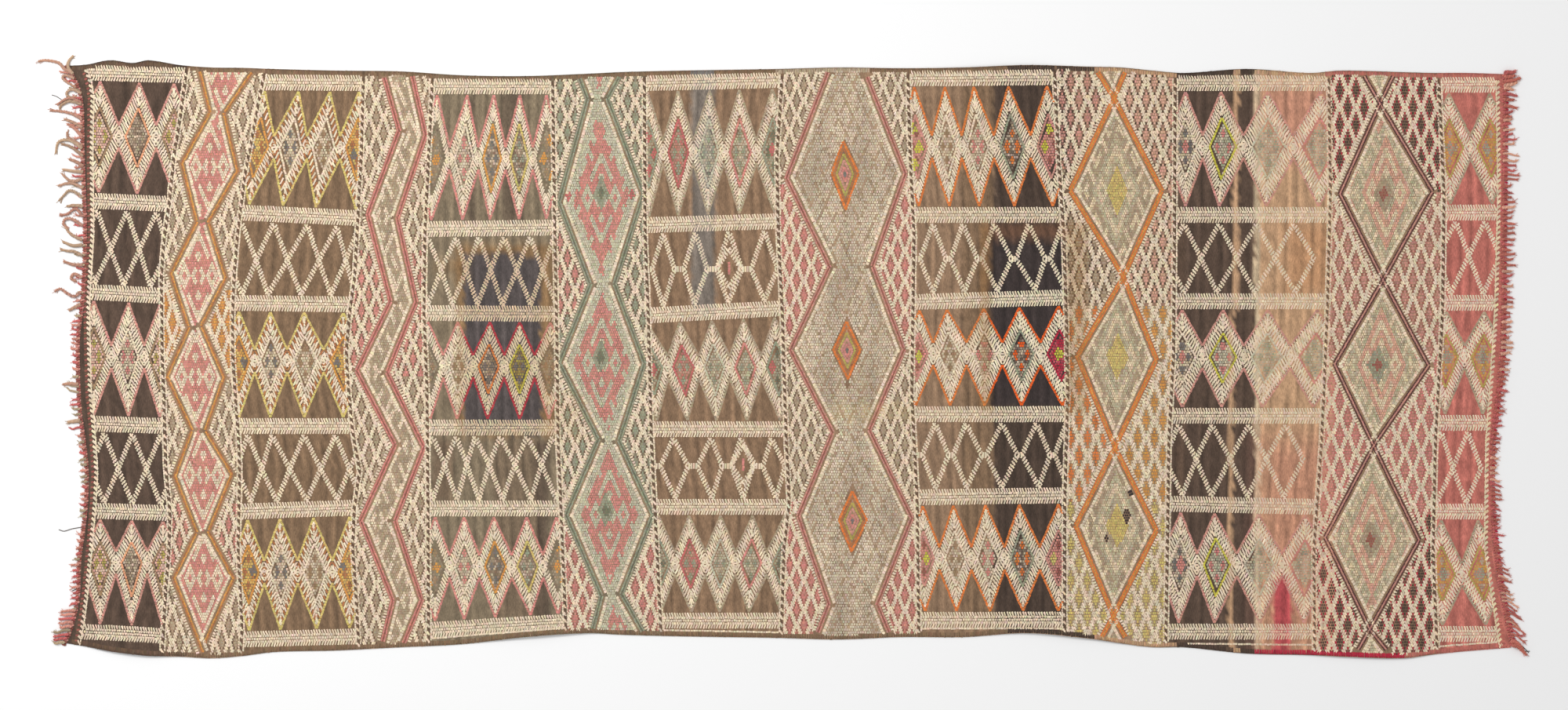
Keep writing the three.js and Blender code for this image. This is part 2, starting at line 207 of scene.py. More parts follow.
CHECKED = ("white", "rust")
ROWS = {
    1: (
        diamonds(174, (128, 178, 222), (126, 175, 222), "dusty_pink", ("olive", "pale", "olive")),
        crosses(318, (124, 162, 200), (121, 158, 192)),
        diamonds(455, (120, 164, 204), (120, 164, 204), "dusty_pink", ("olive", "blush", "olive")),
        crosses(598, (133, 169, 205), (133, 169, 205)),
        diamonds(717, (128, 168, 208), (128, 168, 208), "dusty_pink", ("olive", "pale", "olive")),
    ),
    3: (
        diamonds(188, (338, 381, 421, 458), (318, 361, 403, 454), "straw",
                 ("amber", "slate", "sand", "amber"), CHECKED),
        crosses(332, (308, 349, 392, 430, 458), (309, 342, 384, 422, 454)),
        diamonds(460, (305, 345, 388, 438), (305, 345, 388, 438), "straw",
                 ("amber", "slate", "sand", "amber"), CHECKED),
        crosses(598, (316, 347, 388, 428, 466), (320, 353, 391, 430, 460)),
        diamonds(729, (316, 357, 400, 446), (318, 358, 404, 446), "straw",
                 ("amber", "slate", "sand", "amber"), CHECKED),
    ),
    5: (
        diamonds(202, (558, 596, 630, 663, 697), (550, 590, 625, 662, 697), "pink",
                 ("fawn", "blush", "orange", "yellow", "fawn")),
        crosses(344, (546, 582, 611, 643, 676, 707), (546, 577, 609, 641, 677, 710)),
        diamonds(467, (546, 584, 625, 663, 702), (549, 583, 622, 663, 700), "pink",
                 ("fawn", "sand", "vivid", "lime", "fawn")),
        crosses(592, (552, 582, 606, 638, 672, 705), (552, 583, 611, 641, 677, 710)),
        diamonds(722, (555, 592, 630, 672, 710), (555, 592, 632, 677, 712), "pink",
                 ("fawn", "blush", "orange", "yellow", "fawn")),
    ),
    7: (
        diamonds(194, (826, 865, 905, 943, 985), (828, 865, 903, 943, 988), "greige",
                 ("green", "red", "mist", "rosy", "green")),
        crosses(343, (846, 887, 930, 975), (846, 886, 929, 975), 6.0),
        diamonds(468, (826, 867, 908, 948, 988), (838, 877, 914, 953, 995), "greige",
                 ("green", "red", "mist", "rosy", "green")),
        crosses(594, (859, 907, 945, 984), (861, 908, 948, 990), 6.0),
        diamonds(718, (840, 879, 919, 960, 1001), (843, 882, 918, 955, 996), "greige",
                 ("green", "red", "mist", "rosy", "green")),
    ),
    9: (
        diamonds(187, (1166, 1205, 1242, 1286, 1335), (1172, 1211, 1249, 1294, 1343), "orange",
                 ("rosy_field", "sand", "blush", "ember", "rosy_field")),
        crosses(330, (1190, 1228, 1268, 1312, 1355), (1190, 1230, 1272, 1320, 1358), 3.0),
        diamonds(451, (1173, 1208, 1255, 1300, 1350), (1168, 1212, 1256, 1303, 1355), "orange",
                 ("rosy_field", "sand", "blush", "ember", "crimson_field")),
        crosses(580, (1193, 1232, 1278, 1322, 1360), (1193, 1233, 1278, 1325, 1362), 3.0),
        diamonds(712, (1177, 1216, 1257, 1300, 1350), (1180, 1220, 1263, 1305, 1350), "orange",
                 ("rosy_field", "sand", "blush", "ember", "rosy_field")),
    ),
    11: (
        diamonds(187, (1512, 1557, 1617, 1684), (1512, 1555, 1615, 1682), "dusty_pink",
                 ("slate", "lemon", "mist", "rosy")),
        crosses(329, (1510, 1555, 1603, 1650), (1510, 1552, 1600, 1652)),
        diamonds(455, (1508, 1560, 1617, 1680), (1508, 1558, 1610, 1675), "dusty_pink",
                 ("slate", "lemon", "mist", "rosy")),
        crosses(585, (1503, 1546, 1593, 1640), (1508, 1545, 1591, 1637)),
        diamonds(720, (1506, 1549, 1605, 1665), (1503, 1549, 1607, 1663), "dusty_pink",
                 ("slate", "lemon", "mist", "rosy")),
    ),
    13: (
        diamonds(188, (1848, 1900), (1850, 1903), "greige", ("mustard", "mustard")),
        crosses(326, (1857, 1894), (1850, 1892)),
        diamonds(455, (1845, 1893), (1843, 1891), "greige", ("mustard", "mustard")),
        crosses(597, (1838, 1872), (1832, 1870)),
        diamonds(732, (1838, 1885), (1840, 1895), "greige", ("mustard", "mustard")),
    ),
}

# Middle of a diamond: its inner outline, its four small diamonds and the two colours of the dots round them

CORES = {
    "olive": ("fawn", "olive", "dusty_pink", "white"),
    "pale": ("peach", "greige", "umber", "white"),
    "blush": ("white", "pink", "greige", "white"),
    "amber": ("amber", "rust", "amber", "straw"),
    "slate": ("white", "slate", "greige", "white"),
    "sand": ("white", "fawn", "greige", "white"),
    "fawn": ("drab", "fawn", "greige", "drab"),
    "orange": ("amber", "slate", "umber", "white"),
    "yellow": ("straw", "sage", "umber", "white"),
    "vivid": ("orange", "slate", "umber", "white"),
    "lime": ("lime", "slate", "umber", "lime"),
    "green": ("sage", "moss", "sage", "greige"),
    "red": ("rose", "sage", "greige", "rose"),
    "mist": ("pale_sage", "sage", "greige", "pale_sage"),
    "rosy": ("pink", "sage", "greige", "pale_sage"),
    "rosy_field": ("dusty_pink", "brick", "dusty_pink", "pink"),
    "crimson_field": ("crimson", "crimson", "rose", "crimson"),
    "ember": ("sage", "orange", "dusk", "white"),
    "lemon": ("lime", "pink", "sage", "white"),
    "mustard": ("olive", "greige", "olive", "amber"),
}

# Thin white lines below the last bar of some plain columns: y at the left side, y at the right side

THIN_LINES = {5: (814, 800), 7: (803, 806), 9: (801, 801), 11: (820, 822), 13: (824, 818)}

# The brocaded columns: their two zigzag lines as (x, y), the strands of a line, the fill between them as
# (hooks of the even nests, pale ground, hooks of the odd nests), the lattice outside as (down to y, left
# cores, right cores, teeth), and the squares left pale along the zigzags besides WHITE_MARGIN

Brocade = namedtuple("Brocade", "left right strands fill lattice rim", defaults=(0,))
BROCADES = {
    2: Brocade(
        ((253, 88), (267, 143), (231, 208), (250, 283), (217, 349), (240, 418), (212, 480), (244, 548),
         (222, 607), (250, 678), (221, 737), (258, 832)),
        ((322, 93), (287, 145), (304, 218), (267, 283), (289, 354), (258, 415), (287, 481), (263, 548),
         (297, 604), (267, 678), (299, 737), (262, 820)),
        ("amber", "rust", "fawn"), ("pink", "white", "pink"),
        ((370, "greige", "greige", "umber"), (480, "amber", "amber", "rust"),
         (640, "greige", "greige", "umber"), (720, "pink", "pink", "umber"),
         (850, "greige", "greige", "umber")),
    ),
    4: Brocade(
        ((490, 99), (509, 166), (469, 273), (498, 384), (455, 473), (504, 567), (460, 663), (501, 765),
         (488, 818)),
        ((526, 97), (543, 172), (507, 278), (531, 385), (494, 475), (541, 570), (504, 664), (538, 765),
         (515, 820)),
        ("pink", "brick", "pink"), ("greige", "white", "greige"),
        ((320, "greige", "greige", "umber"), (480, "pink", "pink", "umber"),
         (850, "greige", "greige", "umber")),
    ),
    6: Brocade(
        ((739, 100), (749, 126), (713, 258), (753, 363), (713, 462), (763, 560), (722, 656), (767, 760),
         (755, 805)),
        ((790, 98), (775, 126), (821, 247), (784, 362), (822, 463), (790, 562), (833, 656), (793, 757),
         (820, 805)),
        ("sage", "moss", "sage"), ("pink", "pale_sage", "pink"),
        ((280, "sage", "sage", "umber"), (400, "pink", "sage", "umber"), (640, "sage", "sage", "umber"),
         (850, "pink", "pink", "brick")),
        rim=9,
    ),
    8: Brocade(
        ((1056, 92), (1003, 227), (1058, 340), (1008, 446), (1062, 551), (1018, 658), (1057, 770),
         (1043, 806)),
        ((1106, 98), (1155, 221), (1113, 339), (1153, 446), (1109, 548), (1163, 660), (1119, 770),
         (1134, 806)),
        ("dusty_pink", "brick", "dusty_pink"), ("oat", "oat", "oat"),
        ((235, "greige", "greige", "umber"), (450, "pink", "pink", "brick"),
         (635, "greige", "greige", "umber"), (850, "pink", "pink", "brick")),
    ),
    10: Brocade(
        ((1400, 92), (1421, 125), (1365, 243), (1433, 353), (1374, 454), (1422, 570), (1372, 670),
         (1420, 785), (1405, 812)),
        ((1435, 92), (1421, 125), (1482, 243), (1433, 353), (1475, 458), (1422, 570), (1475, 676),
         (1420, 785), (1435, 812)),
        ("orange", "amber", "orange"), ("greige", "cream", "celadon"),
        ((215, "dusty_pink", "faded_pink", "dusk"), (390, "greige", "faded_pink", "dusk"),
         (640, "orange", "amber", "greige"), (850, "straw", "straw", "greige")),
    ),
    12: Brocade(
        ((1740, 97), (1760, 132), (1709, 247), (1764, 357), (1702, 464), (1752, 568), (1690, 685),
         (1747, 802), (1732, 828)),
        ((1777, 97), (1760, 132), (1827, 244), (1764, 357), (1822, 466), (1752, 568), (1810, 688),
         (1747, 802), (1768, 828)),
        ("maroon", "dusty_pink", "maroon"), ("celadon", "cream", "faded_pink"),
        ((245, "dusk", "dusk", "crimson"), (450, "dusty_pink", "dusty_pink", "brick"),
         (655, "pink", "pink", "rose"), (850, "dusk", "dusk", "crimson")),
    ),
}

# Lattice outside the zigzags: the middle of one of its small diamonds, and half the pitch each way

Lattice = namedtuple("Lattice", "x y half_wide half_high")
LATTICES = {
    2: Lattice(229, 260, 9.0, 21.5),
    4: Lattice(480, 273, 9.4, 20.5),
    6: Lattice(724, 129, 9.6, 20.0),
    8: Lattice(1007, 262, 9.2, 19.1),
    10: Lattice(1419, 127, 10.7, 22.7),
    12: Lattice(1719, 181, 10.4, 22.0),
}
LATTICE_COLUMNS = 4
LATTICE_ROWS = 6

# Where a small diamond's core, its slim teeth and its ring end, as shares of the way to the next diamond

LATTICE_CORE = 0.40
LATTICE_TEETH = 0.5
LATTICE_RING = 0.69

# The nested hooks of the fill, on the two diagonals: c is coloured and w is pale

HOOK_CHART = (
    "ccccwc",
    "wwwcwc",
    "ccwcwc",
    "ccwccc",
    "wcwwww",
    "cccccc",
)

# Small diamond-shaped spots: column, half width, half height, colour, then their middles

SPOTS = (
    (2, 4, 10, "pink", ((257, 283),)),
    (3, 5, 8, "slate", ((321, 187), (451, 197), (311, 462), (431, 462), (322, 728), (438, 722))),
    (5, 5, 10, "amber", ((549, 180), (556, 203), (548, 224), (702, 180), (693, 203), (704, 226))),
    (5, 5, 9, "amber", ((715, 700), (711, 722), (718, 740), (548, 702), (557, 723), (548, 745))),
    (6, 11, 22, "sage", ((767, 247), (766, 455), (773, 650))),
    (6, 5, 10, "moss", ((767, 247), (766, 455), (773, 650))),
    (6, 4, 8, "rose", ((726, 250), (806, 247))),
    (7, 5, 9, "rose", ((826, 175), (834, 197), (828, 218))),
    (7, 5, 10, "rose", ((984, 190), (833, 472), (985, 468))),
    (9, 5, 10, "lime", ((1172, 190), (1333, 188), (1173, 455), (1181, 712))),
    (9, 5, 9, "lime", ((1165, 165), (1166, 210), (1338, 165))),
    (9, 6, 11, "lime", ((1350, 451),)),
    (9, 5, 10, "straw", ((1345, 712),)),
    (10, 14, 31, "straw", ((1425, 243), (1425, 455), (1425, 670))),
    (10, 4, 5, "black", ((1442, 628), (1411, 685))),
    (10, 5, 10, "black", ((1437, 657),)),
    (11, 6, 12, "pink", ((1512, 187), (1508, 455), (1506, 720))),
    (12, 14, 25, "greige", ((1765, 247), (1748, 688))),
    (12, 14, 25, "sage", ((1757, 465),)),
    (12, 6, 10, "brick", ((1765, 247), (1757, 465), (1748, 688))),
    (13, 6, 11, "sage", ((1850, 190), (1896, 190), (1846, 455), (1891, 455), (1840, 732), (1888, 732))),
)

# Orange diamonds on the dotted field of one column: top, right, bottom, left

DOTTED_COLUMN = 8
FIELD_DIAMONDS = (
    ((1075, 175), (1097, 221), (1079, 272), (1059, 221)),
    ((1080, 406), (1099, 446), (1082, 487), (1061, 446)),
    ((1087, 622), (1108, 663), (1086, 707), (1068, 663)),
)

# Half sizes of the place left bare for one, then its bands as (share of its size, colour, width)

FIELD_CLEAR = (19, 48)
FIELD_BANDS = (
    (0.90, "orange", 3.4), (0.72, "rust", 2.6), (0.55, "olive", 3.0), (0.38, "dusty_pink", 3.0),
    (0.2, "pink", 3.0), (0.06, "slate", 2.4),
)

# Yarns that kept their first colour under a cover: column, left, right, top, bottom, faded dye, first dye

REDYED = (
    (5, 592, 690, 404, 553, "pink", "crimson"), (9, 1262, 1364, 285, 524, "orange", "vermilion"),
    (9, 1262, 1364, 285, 524, "white", "bright_white"), (5, 592, 690, 404, 553, "white", "bright_white"),
)

# Small nested diamonds of one column: x, y, half width, half height

NESTED_COLUMN = 7
NESTED = ((930, 342, 15, 25), (948, 592, 15, 25))

# Colour of each column's bare ground, then what lies on it: left, right, top, bottom, softness of the
# border, colour, strength on the ground, and how much of that the stitches take

GROUNDS = {
    1: "bark", 2: "fawn_ground", 3: "brown", 4: "fawn_ground", 5: "drab", 6: "drab", 7: "earth",
    8: "fawn_ground", 9: "fawn_ground", 10: "fawn_ground", 11: "bark", 12: "fawn_ground", 13: "coral",
}
Patch = namedtuple("Patch", "left right top bottom soft colour strength stitches")
PATCHES = [
    Patch(*row)
    for row in (
        (150, 161, 90, 830, 4, "dusk", 0.5, 0), (197, 205, 90, 830, 4, "dusk", 0.5, 0),
        (553, 578, 560, 640, 6, "umber", 0.5, 0), (630, 690, 560, 790, 8, "umber", 0.35, 0),
        (640, 668, 96, 300, 5, "dusk", 0.45, 0), (596, 606, 120, 300, 4, "dusk", 0.4, 0),
        (685, 700, 560, 790, 3, "dusk", 0.6, 0), (582, 706, 312, 556, 9, "scorch", 0.6, 0.4),
        (592, 690, 325, 553, 2, "charcoal", 1.0, 0), (882, 912, 90, 400, 4, "slate", 0.75, 0.1),
        (838, 870, 90, 800, 12, "brown", 0.35, 0), (940, 1000, 400, 800, 14, "brown", 0.4, 0),
        (1227, 1268, 90, 800, 3, "brown", 0.9, 0), (1268, 1362, 90, 800, 3, "dusk", 1.0, 0),
        (1258, 1364, 288, 520, 3, "black", 1.0, 0), (1250, 1264, 285, 524, 5, "scorch", 0.6, 0.5),
        (1262, 1364, 284, 306, 6, "rust", 0.35, 0.35), (1360, 1386, 284, 528, 9, "scorch", 0.7, 0.45),
        (1573, 1580, 90, 400, 1, "tan", 1.0, 0.2), (1566, 1573, 400, 830, 1, "tan", 1.0, 0.2),
        (1600, 1700, 90, 830, 2, "tan", 1.0, 0.12), (1600, 1607, 90, 830, 1, "cream", 0.7, 0.2),
        (1605, 1700, 560, 830, 50, "coral", 0.35, 0.12), (1624, 1646, 735, 830, 3, "crimson", 0.6, 0.2),
        (1612, 1700, 105, 205, 30, "rose", 0.3, 0.08), (1640, 1700, 285, 375, 24, "rust", 0.3, 0.05),
        (1498, 1512, 90, 830, 3, "umber", 0.5, 0), (1838, 1850, 280, 372, 2, "brick", 0.7, 0),
        (1850, 1900, 90, 830, 10, "coral", 0.5, 0), (700, 745, 500, 560, 14, "scorch", 0.35, 0.25),
        (556, 600, 330, 350, 12, "scorch", 0.3, 0.2), (1060, 1165, 515, 535, 6, "straw", 0.3, 0.22),
    )
]

# Colour of the edge wrapping along both long sides, as (up to x, top, bottom)

EDGE_WRAPS = (
    (240, "umber", "umber"), (880, "brown", "brown"), (912, "slate", "brown"), (990, "brown", "brown"),
    (1110, "greige", "brown"), (1285, "brown", "brown"), (1395, "dusk", "dusk"), (1500, "tan", "tan"),
    (1572, "dusk", "dusk"), (1581, "tan", "tan"), (1601, "dusk", "dusk"), (1690, "tan", "crimson"),
    (1790, "coral", "crimson"), (1930, "coral", "coral"),
)


# Sizes, colours and light that a user would change


def dye(name, description, red, green, blue):
    """A yarn colour of the settings, from its red, green and blue out of 255."""
    return bpy.props.FloatVectorProperty(
        name=name,
        description=description,
        subtype="COLOR_GAMMA",
        size=3,
        min=0.0,
        max=1.0,
        default=(red / 255, green / 255, blue / 255),
    )


def length(name, description, default):
    """A length of the settings, in metres."""
    return bpy.props.FloatProperty(
        name=name, description=description, default=default, min=0.0, precision=5, unit="LENGTH"
    )


class RugDyes(bpy.types.PropertyGroup):
    """Yarn colours, as faded as they are now."""

    white: dye("White", "Bars, frames and lattices", 228, 208, 180)
    bright_white: dye("Bright white", "White of the unfaded patches", 230, 214, 184)
    cream: dye("Cream", "Pale ground of the hooks near the red end", 224, 204, 170)
    oat: dye("Oat", "Dotted field of the widest brocade", 204, 188, 164)
    greige: dye("Greige", "Hooks and small diamonds", 172, 154, 128)
    fawn: dye("Fawn", "Dots, and a strand of the orange zigzags", 156, 128, 98)
    fawn_ground: dye("Fawn ground", "Ground under the brocades", 144, 116, 92)
    earth: dye("Earth", "Ground of the middle plain column", 138, 110, 86)
    drab: dye("Drab", "Grey-brown ground of two columns", 128, 113, 92)
    brown: dye("Brown", "Brown ground near the faded end", 126, 101, 78)
    umber: dye("Umber", "Ticks, teeth and edge wrapping", 104, 82, 66)
    bark: dye("Bark", "Dark ground near both ends", 88, 71, 60)
    dusk: dye("Dusk", "Near-black brown", 76, 62, 53)
    black: dye("Black", "Unfaded patch of the dark ground", 62, 53, 51)
    charcoal: dye("Charcoal", "Unfaded patch of the grey-brown ground", 84, 76, 74)
    tan: dye("Tan", "Faded bands near the red end", 188, 150, 116)
    coral: dye("Coral", "Ground of the red end", 186, 110, 98)
    pink: dye("Pink", "Outlines and hooks", 206, 134, 124)
    faded_pink: dye("Faded pink", "Palest pink, near the red end", 216, 164, 142)
    dusty_pink: dye("Dusty pink", "Greyer pink outlines", 200, 142, 128)
    peach: dye("Peach", "Pale orange outlines", 224, 160, 120)
    rose: dye("Rose", "Stronger pink", 192, 104, 102)
    crimson: dye("Crimson", "Unfaded red", 180, 44, 66)
    brick: dye("Brick", "Dark red strand", 152, 90, 80)
    maroon: dye("Maroon", "Zigzags near the red end", 90, 56, 56)
    amber: dye("Amber", "Zigzags and diamonds near the faded end", 208, 146, 74)
    orange: dye("Orange", "Strong orange outlines", 218, 122, 62)
    vermilion: dye("Vermilion", "Unfaded orange", 228, 96, 36)
    rust: dye("Rust", "Dark orange", 172, 112, 72)
    scorch: dye("Scorch", "Brown stains", 142, 104, 66)
    straw: dye("Straw", "Yellow outlines and spots", 206, 184, 110)
    lime: dye("Lime", "Unfaded yellow-green", 200, 192, 74)
    olive: dye("Olive", "Small diamonds at both ends", 176, 158, 88)
    sage: dye("Sage", "Grey-green", 152, 154, 130)
    celadon: dye("Celadon", "Pale grey-green hooks near the red end", 188, 178, 148)
    pale_sage: dye("Pale sage", "Ground of the pink hooks", 196, 190, 164)
    moss: dye("Moss", "Dark grey-green strand", 110, 114, 94)
    slate: dye("Slate", "Blue-grey", 118, 113, 108)


class RugSizes(bpy.types.PropertyGroup):
    """Heights of the weave."""

    ground_height: length("Ground height", "Top of the bare ground above the cloth's underside", 0.0021)
    underside_height: length("Underside height", "Underside of the cloth above the swell", 0.0002)
    stitch_sink: length("Stitch sink", "How deep a stitch's foot lies in the ground", 0.00015)
    stitch_rise: length("Stitch rise", "Height of a brocade stitch", 0.0011)
    strip_rise: length("Strip rise", "Height of a wrap of the twined end strips", 0.0034)


# Places on the chart


def mix(low, high, share):
    """The value a share of the way from low to high."""
    return low + (high - low) * share


def edge_at(rows, side, along):
    """One side of an uneven edge, smooth through its measured rows, in millimetres."""
    at = np.array([row.along for row in rows], float)
    value = np.array([getattr(row, side) for row in rows], float)
    before = np.maximum(np.arange(len(at)) - 1, 0)
    after = np.minimum(np.arange(len(at)) + 1, len(at) - 1)
    slope = (value[after] - value[before]) / (at[after] - at[before])
    along = np.asarray(along, float)
    leg = np.clip(np.searchsorted(at[1:], along), 0, len(at) - 2)
    span = at[leg + 1] - at[leg]
    t = np.clip((along - at[leg]) / span, 0, 1)
    bend = t * (1 - t) * span * (slope[leg] * (1 - t) - slope[leg + 1] * t)
    return mix(value[leg], value[leg + 1], t * t * (3 - 2 * t)) + bend


def millimetres(x, y):
    """Chart squares as millimetres from the chart's middle, with y up."""
    scale = SQUARE * 1000
    return (np.asarray(x) - CHART_MIDDLE[0]) * scale, (CHART_MIDDLE[1] - np.asarray(y)) * scale


def top_edge(x):
    """Chart y of the far long side."""
    return CHART_MIDDLE[1] - edge_at(LONG_EDGES, "high_side", millimetres(x, 0)[0]) / (SQUARE * 1000)


def bottom_edge(x):
    """Chart y of the near long side."""
    return CHART_MIDDLE[1] - edge_at(LONG_EDGES, "low_side", millimetres(x, 0)[0]) / (SQUARE * 1000)


def left_end(y):
    """Chart x of the faded end."""
    return CHART_MIDDLE[0] + edge_at(SHORT_ENDS, "low_side", millimetres(0, y)[1]) / (SQUARE * 1000)


def right_end(y):
    """Chart x of the red end."""
    return CHART_MIDDLE[0] + edge_at(SHORT_ENDS, "high_side", millimetres(0, y)[1]) / (SQUARE * 1000)


def column_line(number, y):
    """Chart x of the line to the right of a column; 0 is the heading's line."""
    points = COLUMN_LINES[number]
    return np.interp(y, [point[0] for point in points], [point[1] for point in points])


def zigzag_at(points, y):
    """Chart x of a zigzag line at a height."""
    return np.interp(y, [point[1] for point in points], [point[0] for point in points])


def swell(x, y):
    """Height in metres of the cloth's low swells."""
    along, up = millimetres(x, y)
    rise = np.zeros(np.broadcast(along, up).shape)
    for row in SWELLS:
        near = 1 - ((along - row.x) / row.along) ** 2 - ((up - row.y) / row.across) ** 2
        rise += row.rise * np.maximum(near, 0) ** 2
    return rise / 1000


def chart_shift():
    """What brings the chart into the model's frame, from the low corner of the cloth."""
    share_x, share_y = np.meshgrid(*(np.linspace(0, 1, cells + 1) for cells in CLOTH_CELLS))
    up = mix(SHORT_ENDS[0].along, SHORT_ENDS[-1].along, share_y)
    strip = STRIP_SQUARES * SQUARE * 1000
    left = edge_at(SHORT_ENDS, "low_side", up) + strip
    right = edge_at(SHORT_ENDS, "high_side", up) - strip
    x = mix(left, right, share_x)
    y = mix(edge_at(LONG_EDGES, "low_side", x), edge_at(LONG_EDGES, "high_side", x), share_y)
    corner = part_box("cloth")[0]
    return corner.x - x.min() / 1000, corner.y - y.min() / 1000


SHIFT = chart_shift()


def model_place(x, y):
    """Model x and y in metres of chart places."""
    along, up = millimetres(x, y)
    return along / 1000 + SHIFT[0], up / 1000 + SHIFT[1]


# Colours on the chart: swings of a stain's uneven border in squares, then swings of the ground's streaks
# and flecks as shares of its colour

BORDER_SWINGS = (1.2, 0.8)
FINE_STREAK = 0.09
WIDE_STREAK = 0.08
GROUND_FLECK = 0.04
GROUND_SEED = 7


def linear(colour):
    """Screen colour values as linear ones."""
    colour = np.clip(colour, 0, 1)
    return np.where(colour <= 0.04045, colour / 12.92, ((colour + 0.055) / 1.055) ** 2.4)


def patch_share(patch, x, y):
    """How much of a patch shows at chart places, with an uneven, fading border."""
    wide, narrow = BORDER_SWINGS
    x = x + wide * np.sin(y * 0.31 + patch.left) + narrow * np.sin(y * 0.83)
    y = y + wide * np.sin(x * 0.27 + patch.top) + narrow * np.sin(x * 0.71)
    depth = np.minimum.reduce([x - patch.left, patch.right - x, y - patch.top, patch.bottom - y])
    return np.clip(depth / patch.soft + 0.5, 0, 1) * patch.strength


def ground_colour(yarn, x, y):
    """Colour of the bare ground: its column's dye, then bands, patches and stains."""
    column = sum((x > column_line(number, y)).astype(int) for number in range(1, LAST_COLUMN))
    dyes = np.array([yarn[GROUNDS[number]] for number in range(1, LAST_COLUMN + 1)])
    colour = dyes[column]
    for patch in PATCHES:
        share = patch_share(patch, x, y)[..., None]
        colour = mix(colour, yarn[patch.colour], share)
    streak = FINE_STREAK * np.sin(x * 0.93 + np.sin(y * 0.021))
    streak += WIDE_STREAK * np.sin(x * 0.37 + 2 + np.sin(y * 0.034))
    fleck = GROUND_FLECK * np.random.default_rng(GROUND_SEED).standard_normal(x.shape)
    return np.clip(colour * (1 + streak + fleck)[..., None], 0, 1)


def walk(points, pitch, start=0.5):
    """Evenly spaced places along a line of points, with the line's heading at each."""
    points = np.asarray(points, float)
    step = np.diff(points, axis=0)
    legs = np.hypot(step[:, 0], step[:, 1])
    reach = np.r_[0, np.cumsum(legs)]
    count = max(int(round(reach[-1] / pitch)), 1)
    at = (np.arange(count) + start) * reach[-1] / count
    leg = np.clip(np.searchsorted(reach, at, side="right") - 1, 0, len(step) - 1)
    share = (at - reach[leg]) / np.maximum(legs[leg], 1e-9)
    place = points[leg] + step[leg] * share[:, None]
    return place[:, 0], place[:, 1], np.arctan2(step[leg, 1], step[leg, 0])


# Bars and framed diamonds, in squares: how much of a bar's thickness its neighbours keep off, slant of the
# strokes in radians, height of a row of strokes and the share of a stroke that its row shows, widths of the
# outlines, depth of the valley between two diamonds, the middle's share of a diamond, and how far the dark
# ticks lie inside the outline

BAR_CLEARANCE = 0.62
STROKE_SLANT = 0.47
STROKE_ROW = 4.9
STROKE_COVER = 0.6
OUTLINE_WIDTH = 3.3
INNER_WIDTH = 2.9
VALLEY = 14.0
FRAME_SHARE = 0.34
TICK_INSET = 0.4

# Patterned middles: pitch of the dots in squares, then as shares of the middle how far the dots reach,
# where its small diamonds lie beside and above the centre, and their size. Then the swing of a mix of dyes.

DOT_PITCH = (3.1, 3.4)
CORE_REACH = 0.84
CORE_MOTIFS = (0.42, 0.45)
CORE_MOTIF_SIZE = 0.24
MIX_SWING = 0.34

# Between and beside the zigzags, in squares: cell and pitch of the hooks, pale margin, how far each wide
# part runs into the next, half a grid of places, half a diamond of the dotted field, where its dark lines
# begin and how many of their dots are dark, and the lattice's margin and half its grid

HOOK_CELL = (5.4, 13.0)
HOOK_PITCH = (2.7, 3.25)
WHITE_MARGIN = 9.0
FILL_OVERLAP = 1.7
FILL_REACH = (90, 200)
FIELD_HALF = (9.0, 19.0)
FIELD_LINE = 0.84
FIELD_DARK = 0.62
LATTICE_MARGIN = 7.0
LATTICE_REACH = (160, 720)

# Lines and edges, in squares: gap beside a column's line and along a long side, step of a line's points,
# the ends of the outer lines, and the wrapped edge's pitch, overrun and inset at the two ends

LINE_GAP = 2.5
EDGE_GAP = 5
LINE_STEP = 12.0
LINE_END_GAP = 7
FIRST_LINE_ENDS = (88, 822)
LAST_LINE_ENDS = (102, 826)
WRAP_PITCH = 3.0
WRAP_OVERRUN = 12
WRAP_INSET = 2.5

# Spread of the finished stitches: brightness, tint, place in squares, turn in radians and height

TONE_SPREAD = 0.045
TINT_SPREAD = 0.018
PLACE_SPREAD = 0.16
TURN_SPREAD = 0.05
RISE_SPREAD = 0.10


